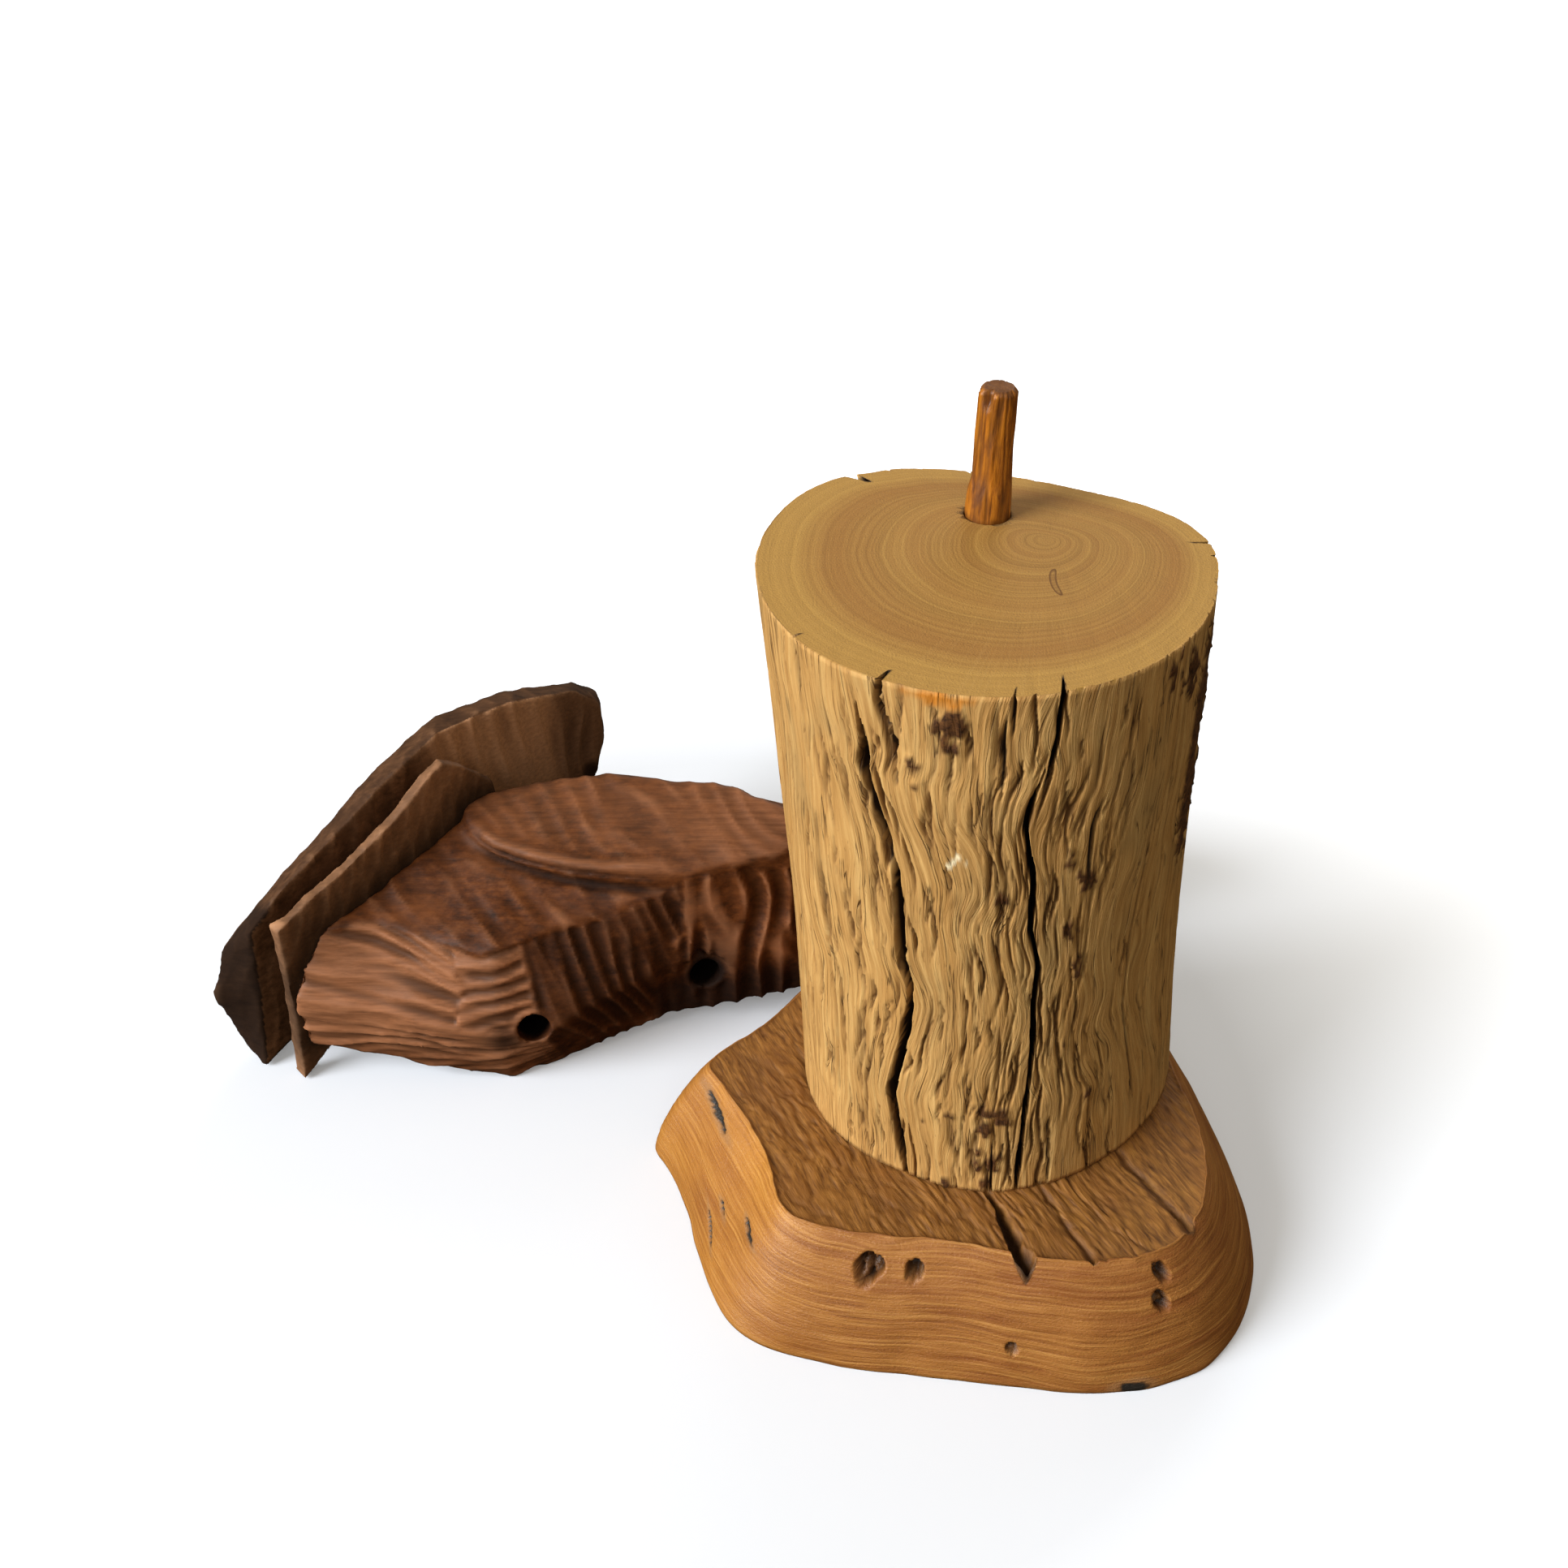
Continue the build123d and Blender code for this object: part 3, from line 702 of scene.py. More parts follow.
def drying_checks(angles, heights, reach):
    """Depth of the drying checks, and how clear of them each point is, from 0 to 1."""
    depth = np.zeros_like(reach)
    clear = np.ones_like(reach)
    for number, (route, low, high, half, deep) in enumerate(CHECKS):
        middle = route_at(route, heights)
        taper = np.clip(np.minimum(heights - low, high - heights) / 16, 0, 1) ** 0.55
        pulse = noise(np.stack([heights, heights * 0, heights * 0 + number], -1), (7, 1, 1.7))
        width = half * taper * (0.95 + 0.3 * pulse)
        across = arc(angles, middle[:, None], reach)
        share = np.clip(1 - np.abs(across) / np.maximum(width, 1e-3)[:, None], 0, 1)
        share = share * (width > 0.05)[:, None]
        depth = np.maximum(depth, deep * taper[:, None] * share**0.5)
        clear *= 1 - bell(across, 0, 2.0 * half + 0.6) * taper[:, None]
    return depth, clear


def oval_patch(columns, heights, oval, ragged, fade):
    """1 inside an oval (angle, height, reach across and up) with a ragged edge, fading to 0 outside."""
    angle, height, across, up = oval
    apart = np.hypot(turn_between(columns, angle)[None, :] / across, (heights[:, None] - height) / up)
    return smooth_step(1.0 + ragged - apart, 0, fade)


def bark_left(columns, heights, crumble):
    """Where bark is left: small patches, and the strip on the right."""
    bark = np.zeros_like(crumble)
    for angle, height, size in BARK:
        across = arc(columns, angle, LOG_RADIUS)
        distance = np.hypot(across[None, :] * 1.15, (heights[:, None] - height) * 0.75)
        bark = np.maximum(bark, smooth_step(size * (0.85 + 0.75 * crumble) - distance, 0, 0.7))
    strip = oval_patch(columns, heights, BARK_STRIP, 0.35 * crumble, 0.12)
    return np.maximum(bark, strip), strip


def pale_flecks(columns, heights):
    fleck = np.zeros((len(heights), len(columns)))
    for angle, height in FLECKS:
        distance = np.hypot(arc(columns, angle, LOG_RADIUS)[None, :], heights[:, None] - height)
        fleck = np.maximum(fleck, smooth_step(FLECK_SIZE - distance, 0, 0.4))
    return fleck


def log_top(plain_rim, rim, rim_check):
    """The sawn top, in rings from the rim to the pith: points, place among the growth rings, checks."""
    whole = np.linalg.norm(plain_rim - PITH, axis=1)
    left_over = np.linalg.norm(rim - PITH, axis=1)
    spoke = unit(plain_rim - PITH)
    points, ring, check = [], [], []
    for share in (0.996, 0.985, 0.965, *np.linspace(0.94, 0.2, 17), 0.1, 0.03):
        reach = np.minimum(left_over, whole * share)
        xy = PITH + spoke * reach[:, None]
        points.append(np.column_stack([xy, np.full(len(xy), LOG_HIGH)]))
        ring.append(RING_REACH * reach / whole)
        check.append(rim_check * (left_over < whole * share + 0.02))
    points = np.array(points)
    sawn_rise = 0.12 * noise(points * (1, 1, 0), (2.5, 9, 1))
    points[..., 2] += np.minimum(sawn_rise, 0)
    return points, np.array(ring), np.array(check)


def make_log():
    columns = spread_columns(LOG_COLUMNS, LOG_FINE)
    heights = np.linspace(0, LOG_HEIGHT, LOG_ROWS)
    angles = columns + grain_turn(columns, heights)
    reach = log_outline(angles, heights)
    base = on_cylinder(reach, np.radians(angles), (LOG_LOW + heights)[:, None])
    base[..., 0] += log_middle(heights)[:, None]

    flat = np.radians(np.broadcast_to(columns, reach.shape))
    grain, bent, knot = log_grain(flat, columns, heights)
    furrow, swelling = log_furrows(columns, grain, bent)
    check, clear = drying_checks(angles, heights, reach)
    furrow *= clear
    cracks = short_cracks(columns, heights)
    crumble = noise(grain, (2.2, 2.2, 2.6), 8) + 0.6 * noise(grain, (1.1, 1.1, 1.3), 2)
    bark, strip = bark_left(columns, heights, crumble)

    depth = furrow + swelling + np.maximum(cracks, check) - 0.9 * knot
    depth -= 0.5 * bark * (1 + 0.8 * crumble) + 0.2 * strip
    side = base.copy()
    side[..., :2] += unit(PITH - base[..., :2]) * depth[..., None]
    # How much painted shade each point of a check gets.
    check_mark = smooth_step(check, 0.3, 1.5)
    top, top_ring, top_check = log_top(base[-1, :, :2], side[-1, :, :2], check_mark[-1])

    foot = shrunk(side[0], np.array([*PITH, LOG_LOW]), (0.3, 0.75))
    rings = np.concatenate([foot, side, top])
    below, above = len(foot), len(top)
    spoke = np.tile(on_cylinder(RING_REACH, flat[0], 0.0), (len(rings), 1, 1))
    spoke[below + LOG_ROWS:, :, 2] = top_ring
    side_marks = {
        # painted shade in the furrows and short cracks
        "hollow": (np.clip(furrow * 0.5 + cracks * 0.75, 0, 0.9), 0.0),
        "check": (check_mark, top_check),
        "bark": (bark, 0.0),
        "stain": (oval_patch(columns, heights, STAIN, 0.3 * crumble, 0.5), 0.0),
        "fleck": (pale_flecks(columns, heights), 0.0),
        "ring": (np.full_like(reach, RING_REACH), top_ring),
        "sawn": (np.zeros_like(reach), 1.0),
    }
    marks = {name: whole_mark(values, below, above, on_top) for name, (values, on_top) in side_marks.items()}
    marks["grain"] = closed(carried_on(bent, below, above))
    marks["spoke"] = closed(spoke)
    faces = ring_faces(len(rings), LOG_COLUMNS)
    log = piece("log", closed(rings), faces, marks, "stand", log_material(), "post_log")
    merge_doubles(log)
    low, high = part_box("peg")
    middle = ((low.x + high.x) / 2 / MM, (low.y + high.y) / 2 / MM)
    drill(log, middle, PEG_HOLE_RADIUS, low.z / MM, LOG_HIGH + 5)
    return log


# ---- slab ---------------------------------------------------------------------------------------
SLAB_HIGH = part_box("base_slab")[1].z / MM
SLAB_MID = (2.0, -14.0)
SLAB_COLUMNS = 660
SLAB_SIDE_ROWS = 62
SLAB_TOP_RINGS = 62
SLAB_GRAIN = math.radians(-62)  # the way the fibres run along the top
COUNTERBORE_RADIUS = 8.0
WASHER_RADIUS = 6.8

BORER_HOLES = [  # middle of each hole on the slab's edge, its radius and its depth
    ((-28, -75, 30), 4.3, 6.5),
    ((-15, -76, 31), 2.7, 5.0),
    ((56, -79, 33), 2.5, 4.0),
    ((56, -84, 26), 2.5, 4.0),
    ((13, -90, 13), 2.0, 3.0),
]
GROOVES = [  # start, end, half of the width at each end, depth
    ((8, -54), (20, -90), 1.3, 4.3, 9.5),
    ((19, -78), (26, -96), 0.8, 5.5, 2.6),
    ((24, -52), (38, -84), 0.9, 1.0, 1.9),
    ((27, -50), (41, -82), 0.6, 0.6, 0.9),
    ((49, -38), (70, -74), 1.5, 2.5, 2.8),
    ((-62, -2), (-20, -30), 0.5, 0.5, 0.6),
]
GROOVE_MOUTHS = [  # where they cut the CAD's edge: middle, half of the width, depth below the top
    ((17, -76), 5.0, 11),
    ((34, -78), 3.0, 4),
    ((67, -67), 4.0, 4),
]
DARK_SLITS = [  # dark slits in the edge: middle, half-sizes along and up, and how they lean
    ((-74, -18, 32.5), 4.9, 2.0, 3.3),
    ((-76, -47, 11), 1.5, 2.5, 2.0),
    ((-75, -47, 18.5), 2.3, 1.1, 1.6),
    ((-63, -59, 25), 3.4, 0.95, 2.8),
    ((50, -97, 1.5), 4.5, 2.2, 0.0),
]
STAIN_BELOW = 3.0  # a slit lower than this is only a stain


def slab_outline(columns, heights):
    """The slab's outline at each height, with the CAD's holes and grooves bridged over."""
    tree = cad_tree("base_slab")
    probe = np.arange(0, 360, 0.5)
    rows = []
    for height in heights:
        z = min(max(height, 0.3), SLAB_HIGH - 0.3)
        reach = cad_reach(tree, SLAB_MID, probe, z)
        gaps = [((x, y), r + 1.5) for (x, y, hole_z), r, _ in BORER_HOLES if abs(hole_z - z) < r + 3]
        gaps += [(spot, size) for spot, size, deep in GROOVE_MOUTHS if z > SLAB_HIGH - deep]
        for spot, size in gaps:
            half = math.degrees(size / math.dist(spot, SLAB_MID))
            keep = np.abs(turn_between(probe, angle_from(SLAB_MID, spot))) > half
            reach = np.interp(probe, probe[keep], reach[keep], period=360)
        rows.append(np.interp(columns, probe, reach, period=360))
    return np.array(rows)


def groove_depth(xy):
    """How far the split and the saw marks go below the slab's top."""
    spots = np.concatenate([xy, 0 * xy[..., :1]], -1)
    bend = 0.5 * noise(spots, 5, 3)
    ragged = noise(spots, 3.2, 6)
    depth = np.zeros(xy.shape[:-1])
    for start, end, half0, half1, deep in GROOVES:
        length = math.dist(start, end)
        way = np.subtract(end, start) / length
        along = (xy - start) @ way
        across = (xy - start) @ (-way[1], way[0]) + bend
        share = np.clip(along / length, 0, 1)
        half = half0 + (half1 - half0) * share**1.6
        half = np.maximum(half + (0.2 + 0.22 * half0 + 0.2 * half1 * share) * ragged, 0.2)
        inside = np.clip(1 - np.abs(across) / half, 0, 1) ** 0.7
        ends = smooth_step(along, -1.5, 2.5) * smooth_step(length * 1.05 - along, 0, 3)
        depth = np.maximum(depth, deep * (0.45 + 0.55 * share) * inside * ends)
    return depth


def edge_relief(spots, heights):
    """Soft tool marks and fine layers on the slab's edge, a chipped upper rim and a rounded foot."""
    edge = 0.7 * noise(spots, (26, 26, 20), 1) + 0.35 * noise(spots, (9, 9, 8), 4)
    edge += 0.10 * noise(spots, (22, 22, 1.5), 2) + 0.06 * noise(spots, (14, 14, 0.9), 5)
    chips = 0.6 * np.maximum(noise(spots, (7, 7, 30), 6), 0) + 0.3 * noise(spots, (3, 3, 20), 8)
    near_rim = smooth_step(heights, SLAB_HIGH - 3.5, SLAB_HIGH)[:, None]
    near_foot = smooth_step(-heights, -1.6, 0)[:, None]
    return edge - near_rim * (0.35 + chips) - 0.5 * near_foot


def borer_pits(columns, reach, spots):
    """Depth of the beetle holes, which are half filled with frass, and the painted shade in them."""
    pit = np.zeros_like(reach)
    dark = np.zeros_like(reach)
    wobble = 1 + 0.22 * noise(spots, 2.6, 7)
    frass = 0.45 + 0.75 * np.clip(0.5 + 1.3 * noise(spots, 1.5, 3), 0, 1)
    for (x, y, z), radius, deep in BORER_HOLES:
        away = arc(columns, angle_from(SLAB_MID, (x, y)), reach)
        near = np.hypot(away, spots[..., 2] - z) / (radius * wobble)
        pit = np.maximum(pit, deep * frass * np.clip(1.4 * (1 - near**4), 0, 1))
        dark = np.maximum(dark, 0.95 * smooth_step(1.06 - near, 0, 0.22) * (0.5 + 0.5 * frass))
    return pit, dark


def dark_slits(columns, reach, spots):
    """Depth of the dark slits in the edge, the painted shade in them, and the paler halo round it."""
    pit = np.zeros_like(reach)
    slit_shade_and_stain = np.zeros_like(reach)
    halo = np.zeros_like(reach)
    wobble = 0.3 * noise(spots, 2.6, 5)
    for (x, y, z), half, high, lean in DARK_SLITS:
        up = spots[..., 2] - z
        away = arc(columns, angle_from(SLAB_MID, (x, y)), reach) + lean * up
        near = np.hypot(away / half, up / high) + wobble
        slit_shade_and_stain = np.maximum(slit_shade_and_stain, smooth_step(1.15 - near, 0, 0.3))
        halo = np.maximum(halo, 0.6 * smooth_step(2.1 - near, 0, 1.0))
        pit = np.maximum(pit, 0.9 * smooth_step(1.1 - near, 0, 0.5) * (z > STAIN_BELOW))
    return pit, slit_shade_and_stain, np.clip(halo - slit_shade_and_stain, 0, 1)


def in_slab_grain(xy, z):
    """Points with their first part along the fibres of the slab's top and the second across."""
    lengthwise = np.array([math.cos(SLAB_GRAIN), math.sin(SLAB_GRAIN)])
    crosswise = np.array([-lengthwise[1], lengthwise[0]])
    return np.stack([xy @ lengthwise, xy @ crosswise, z], -1)


def slab_top(rim, log_rim):
    """The rough sawn top, in rings from the rim inwards: points, place in the grain, and painted shade in
    hollows.
    """
    shares = np.concatenate([[0.993, 0.98], np.linspace(0.965, 0.42, SLAB_TOP_RINGS - 5), [0.3, 0.15, 0.04]])
    xy = shrunk(rim, np.array(SLAB_MID), shares)
    bare = 1 - smooth_step(inside_depth(log_rim, xy), 1.0, 4.0)
    bent = in_slab_grain(xy, 0 * xy[..., 0])
    bent[..., 1] += 1.5 * noise(bent, (16, 9, 1), 2)
    torn = 0.55 * fissures(noise(bent, (6.5, 1.5, 1), 3), 0.45)
    torn += 0.3 * np.maximum(noise(bent, (3.5, 1.0, 1), 5), 0) + 0.25 * (1 + noise(bent, (14, 5, 1), 8))
    grooves = groove_depth(xy)
    from_rim = smooth_step(1 - shares, 0.0, 0.02)[:, None]
    fall = (torn + 0.15 + grooves) * bare * (0.35 + 0.65 * from_rim)
    points = np.concatenate([xy, np.minimum(SLAB_HIGH - fall, SLAB_HIGH)[..., None]], -1)
    return points, bent, np.clip(0.30 * torn * bare + 0.16 * grooves, 0, 0.85)


def make_slab(log_rim):
    fine = [(angle_from(SLAB_MID, spot), 1.0 + radius * 0.7, 2.2) for spot, radius, _ in BORER_HOLES]
    fine += [(angle_from(SLAB_MID, spot), 5.0, 3.0) for spot, *_ in DARK_SLITS if spot[2] > STAIN_BELOW]
    fine.append((-77, 4.0, 1.8))  # the split
    columns = spread_columns(SLAB_COLUMNS, fine)
    heights = np.linspace(0, SLAB_HIGH, SLAB_SIDE_ROWS)
    turn = np.radians(columns)
    centre = np.array([*SLAB_MID, 0.0])
    reach = slab_outline(columns, heights)
    spots = on_cylinder(reach, turn, heights[:, None]) + centre

    pit, hollow = borer_pits(columns, reach, spots)
    slit, slit_shade_and_stain, halo = dark_slits(columns, reach, spots)
    # Painted light on the side that faces the key lamp.
    lit_gold = 0.75 * around(columns, 195, 34)[None, :] * (0.7 + 0.4 * noise(spots, (20, 20, 12), 9))
    carved = reach + edge_relief(spots, heights) - np.maximum(pit, slit)

    # The rim sinks where the split and the saw marks run out over the edge.
    sink = groove_depth(spots[-1, :, :2])
    cut = SLAB_HIGH - sink
    z = np.minimum(heights[:, None], cut)
    at = np.array([np.interp(z[:, k], heights, carved[:, k]) for k in range(SLAB_COLUMNS)]).T
    side = on_cylinder(at, turn, z) + centre
    sunk = smooth_step(heights[:, None] - cut, -0.5, 1.0)
    top, top_along, top_hollow = slab_top(side[-1, :, :2], log_rim)

    foot = shrunk(side[0], centre, (0.2, 0.6, 0.97))
    rings = np.concatenate([foot, side, top])
    below, above = len(foot), len(top)
    layer = spots.copy()
    layer[..., 2] += 1.8 * noise(spots, (34, 34, 60), 3) + 0.6 * noise(spots, (12, 12, 20), 6)
    side_along = in_slab_grain(side[..., :2], side[..., 2])
    side_marks = {
        # painted shade in the holes, and where the split cuts the rim
        "hollow": (np.maximum(hollow, 0.55 * sunk * (sink > 2)), top_hollow),
        # painted shade in the slits, and a stain where one is too low to be cut
        "slit_shade_and_stain": (slit_shade_and_stain, 0.0),
        "halo": (halo, 0.0),
        "lit_gold": (np.clip(lit_gold, 0, 1), 0.0),
        "sawn": (np.zeros_like(reach), 1.0),
    }
    marks = {name: whole_mark(values, below, above, on_top) for name, (values, on_top) in side_marks.items()}
    marks["layer"] = closed(carried_on(layer, below, above))
    marks["along"] = closed(np.concatenate([carried_on(side_along, below, 0), top_along]))
    faces = ring_faces(len(rings), SLAB_COLUMNS)
    slab = piece("slab", closed(rings), faces, marks, "stand", slab_material(), "base_slab")
    merge_doubles(slab)
    low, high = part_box("base_washers")
    for y in (low.y + WASHER_RADIUS * MM, high.y - WASHER_RADIUS * MM):
        drill(slab, ((low.x + high.x) / 2 / MM, y / MM), COUNTERBORE_RADIUS, -5, high.z / MM)


def inside_depth(outline, xy):
    """How far inside the outline each point is, along the line to the outline's middle."""
    middle = outline.mean(0)
    angle = np.arctan2(outline[:, 1] - middle[1], outline[:, 0] - middle[0])
    reach = np.hypot(outline[:, 0] - middle[0], outline[:, 1] - middle[1])
    order = np.argsort(angle)
    at = np.arctan2(xy[..., 1] - middle[1], xy[..., 0] - middle[0])
    limit = np.interp(at, angle[order], reach[order], period=2 * np.pi)
    return limit - np.hypot(xy[..., 0] - middle[0], xy[..., 1] - middle[1])


# ---- peg ----------------------------------------------------------------------------------------
PEG_TIP_RADIUS = 5.3
PEG_SHOULDER = LOG_HIGH + 11  # the knife's flats begin here
PEG_COLUMNS = 120
PEG_FLATS = 9
CHIP_TURN = math.radians(232)  # a chip out of the upper edge, towards the front left
CHIP_ACROSS, CHIP_DOWN, CHIP_DEEP = 2.0, 6.5, 1.7
CAP_SHARES = (0.86, 0.6, 0.3)


def whittled(reach, turns, heights):
    """Knife flats above the shoulder, at uneven angles, each a little deeper or shallower."""
    rng = np.random.default_rng(5)
    flats = np.sort(rng.uniform(0, 2 * np.pi, PEG_FLATS) * 0.25 + circle_turns(PEG_FLATS))
    shown = smooth_step(heights, PEG_SHOULDER - 4, PEG_SHOULDER + 6)[:, None]
    for number, angle in enumerate(flats):
        drift = 0.16 * noise(np.stack([heights, 0 * heights, 0 * heights + number], -1), (14, 1, 1.3))
        flat_at = PEG_TIP_RADIUS * 0.955 + drift[:, None]
        facing = np.cos(turns - angle)[None, :]
        limit = np.where(facing > 0.3, flat_at / np.maximum(facing, 0.3), 1e3)
        reach = blended(reach, np.minimum(reach, limit), shown)
    return reach


def make_peg():
    low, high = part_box("peg")
    middle = np.array([(low.x + high.x) / 2, (low.y + high.y) / 2, 0]) / MM
    foot_radius = (high.x - low.x) / 2 / MM
    bottom, top = low.z / MM, high.z / MM
    turns = circle_turns(PEG_COLUMNS)
    heights = np.concatenate([np.linspace(bottom, bottom + 36, 20), np.linspace(bottom + 37, top - 0.1, 90)])
    side_rows = len(heights)

    thinned = smooth_step(heights, LOG_HIGH - 3, PEG_SHOULDER + 12)
    radius = foot_radius + (PEG_TIP_RADIUS - foot_radius) * thinned
    radius -= np.maximum(0, heights - (top - 1.3)) * 0.9 + np.maximum(0, bottom + 1.2 - heights)
    reach = whittled(np.tile(radius[:, None], PEG_COLUMNS), turns, heights)
    spots = on_cylinder(PEG_TIP_RADIUS, turns, heights[:, None])
    torn = 0.35 * fissures(noise(spots, (1.6, 1.6, 13), 4), 0.35) ** 1.3
    torn += 0.12 * noise(spots, (0.9, 0.9, 7), 2)
    torn *= smooth_step(heights, LOG_HIGH - 4, LOG_HIGH)[:, None]
    across = (turns - CHIP_TURN) * PEG_TIP_RADIUS / CHIP_ACROSS
    chip = np.hypot(across[None, :], (heights[:, None] - top) / CHIP_DOWN)
    chipped = smooth_step(1.0 - chip, 0, 0.6)
    reach = reach - torn - CHIP_DEEP * chipped
    side = on_cylinder(reach, turns, heights[:, None]) + middle

    caps = shrunk(side[-1], middle, CAP_SHARES)
    caps[..., 2] = top - 0.1 + 0.12 * noise(caps * [1, 1, 0], 1.6, 4)
    rings = np.concatenate([side, caps])
    sawn = np.zeros(rings.shape[:2])
    sawn[side_rows:] = 0.85
    sawn[side_rows - 1] = 0.5
    # Painted shade on the peg where it goes into the hole.
    near_hole = smooth_step(-heights, -(LOG_HIGH + 2.5), -LOG_HIGH)[:, None]
    hollow = np.zeros(rings.shape[:2])
    hollow[:side_rows] = np.maximum(np.clip(torn * 1.9 + 0.5 * chipped, 0, 0.9), 0.6 * near_hole)
    marks = {"sawn": closed(sawn), "hollow": closed(hollow)}
    faces = ring_faces(len(rings), PEG_COLUMNS)
    piece("peg_turned", closed(rings), faces, marks, "peg", peg_material(), "peg")


# ---- carved pieces ------------------------------------------------------------------------------
def remeshed(node, voxel, passes):
    """The CAD solid as an even mesh with its edges softened: points and normals in mm, and faces."""
    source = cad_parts[node]
    copy = linked("work", source.data.copy())
    remesh = copy.modifiers.new("even", "REMESH")
    remesh.mode = "VOXEL"
    remesh.voxel_size = voxel * MM
    smooth = copy.modifiers.new("soft", "SMOOTH")
    smooth.factor = 0.5
    smooth.iterations = passes
    made = evaluated_mesh(copy)
    points = np.zeros(len(made.vertices) * 3, np.float32)
    made.vertices.foreach_get("co", points)
    normals = np.zeros(len(made.vertices) * 3, np.float32)
    made.vertices.foreach_get("normal", normals)
    faces = [tuple(p.vertices) for p in made.polygons]
    bpy.data.objects.remove(copy)
    bpy.data.meshes.remove(made)
    return points.reshape(-1, 3).astype(float) / MM, normals.reshape(-1, 3).astype(float), faces


def gouged(points, normals, strokes, seed, tries=14000):
    """Overlapping gouge strokes: at each point the depth in mm, its share of a full stroke, and a tone.

    strokes is (way, length, width, depth) at each point: the way the tool ran and the size of a mark.
    """
    way, length, width, depth = strokes
    way = unit(way - normals * np.sum(way * normals, 1, keepdims=True))
    beside = np.cross(normals, way)
    rng = np.random.default_rng(seed)
    kept = []
    kept_points = np.zeros((0, 3))
    for k in rng.integers(0, len(points), tries):
        if len(kept):
            apart = kept_points - points[k]
            s = (apart @ way[k]) / (0.42 * length[k])
            t = (apart @ beside[k]) / (0.74 * width[k])
            h = (apart @ normals[k]) / (1.2 * width[k])
            if np.min(s * s + t * t + h * h) < 1:
                continue
        kept.append(k)
        kept_points = points[kept]
    order = np.argsort(points[:, 0])
    sorted_points = points[order]
    sorted_x = sorted_points[:, 0]
    best = np.full(len(points), -9.0)
    tone = np.full(len(points), 0.5)
    for k in kept:
        half_length = length[k] / 2 * rng.uniform(0.85, 1.35)
        half_width = width[k] / 2 * rng.uniform(0.9, 1.3)
        deep = depth[k] * rng.uniform(0.75, 1.2)
        own_tone = rng.uniform(0, 1)
        reach = max(half_length, half_width) * 1.3
        first, last = np.searchsorted(sorted_x, [points[k, 0] - reach, points[k, 0] + reach])
        apart = sorted_points[first:last] - points[k]
        s = apart @ way[k] / half_length
        t = apart @ beside[k] / half_width
        off = np.abs(apart @ normals[k])
        cut = deep * (1 - s * s - t * t)
        near = (off < width[k] * 1.6) & (cut > -deep)
        chosen = order[first:last][near]
        tone[chosen] = np.where(cut[near] > best[chosen], own_tone, tone[chosen])
        best[chosen] = np.maximum(best[chosen], cut[near])
    share = np.clip(best / np.maximum(depth, 1e-6), -0.4, 1.2)
    return share * depth, share, tone


# The bird looks along +X, its back is towards +Y, and its folded right wing is on top.
BORE_WAY = unit(np.array([0.22, -0.92, 0.36]))
BORE_MOUTHS = np.array([(-138.5, 20.5, 28.0), (-80.5, 45.5, 29.0)])
BORE_RADIUS = 5.6
BORE_SPAN = (-30, 14)  # mm along BORE_WAY from a mouth, where a peg hole is left uncarved
SPOT_RADIUS = 11.0  # the dark pared place round the hole nearer the neck
# Height of the edge between the belly and the flank, along the bird.
BELLY_EDGE = [(-228, 62), (-192, 60.5), (-175, 58.5), (-160, 55), (-142, 57), (-120, 58.5), (-108, 61.5),
              (-94, 66), (-85, 72), (-48, 70), (-20, 64), (20, 60)]
FLUTES_MEET = (-95.0, 18.0)  # (x, z): the flutes near the tail all point here
FLUTES_SHARE = 0.75  # of the relief there; the rest is separate strokes
FLUTES_BREAK = (-163.0, 31.0)  # (x, z): past and above here they give way to level ones
FLUTES_END = [(0, -131), (23, -135), (39, -138), (57, -142)]  # (z, x) where the belly's dark front begins
RIBS_START = [(18, -100), (36, -91), (62, -89)]  # (z, x) where the ribs begin
RIBS_END = -26.0  # x where they end
FLANK_ALONG = np.array([0.66, -0.57, -0.50])  # the way the tool ran down the flank
FLANK_ACROSS = np.array([0.75, 0.56, 0.34])
WING_ALONG = (0.80, -0.50, -0.30)
BODY_VOXEL = 1.02
HOLLOWS = [  # pared places beside the peg holes: middle, reach, depth, and how dark they are
    ((-79.0, 43.0, 34.0), 13.0, 2.4, 0.85),
    ((-148.5, 18.5, 24.5), 7.5, 1.4, 0.85),
]
WING_EDGE = [(-163, 69), (-155, 60.5), (-141, 54.5), (-127, 51.2), (-112, 49.4), (-98, 49), (-84, 50)]
LIP_STARTS = (-163.0, -152.0)  # the lip grows between these places along the bird
LIP_ENDS = (-104.0, -82.0)  # and dies out between these
BIRD_DARK = srgb(38, 18, 6)
BIRD_MIDDLE = srgb(80, 42, 18)
BIRD_LIGHT = srgb(110, 63, 30)
# The lightest bird colour stands for wear and a painted highlight.
BIRD_WEAR_AND_HIGHLIGHT = srgb(178, 122, 86)


def smooth_route(route, count=12):
    """A smooth curve through the points of a route (Catmull-Rom), with count points on each part."""
    knots = np.array([route[0], *route, route[-1]], float)
    steps = np.linspace(0, 1, count, endpoint=False)[:, None]
    parts = []
    for a, b, c, d in zip(knots, knots[1:], knots[2:], knots[3:]):
        bend = (2 * a - 5 * b + 4 * c - d) * steps**2 + (3 * b - a - 3 * c + d) * steps**3
        parts.append(b + 0.5 * ((c - a) * steps + bend))
    return np.concatenate(parts + [knots[-1:]])


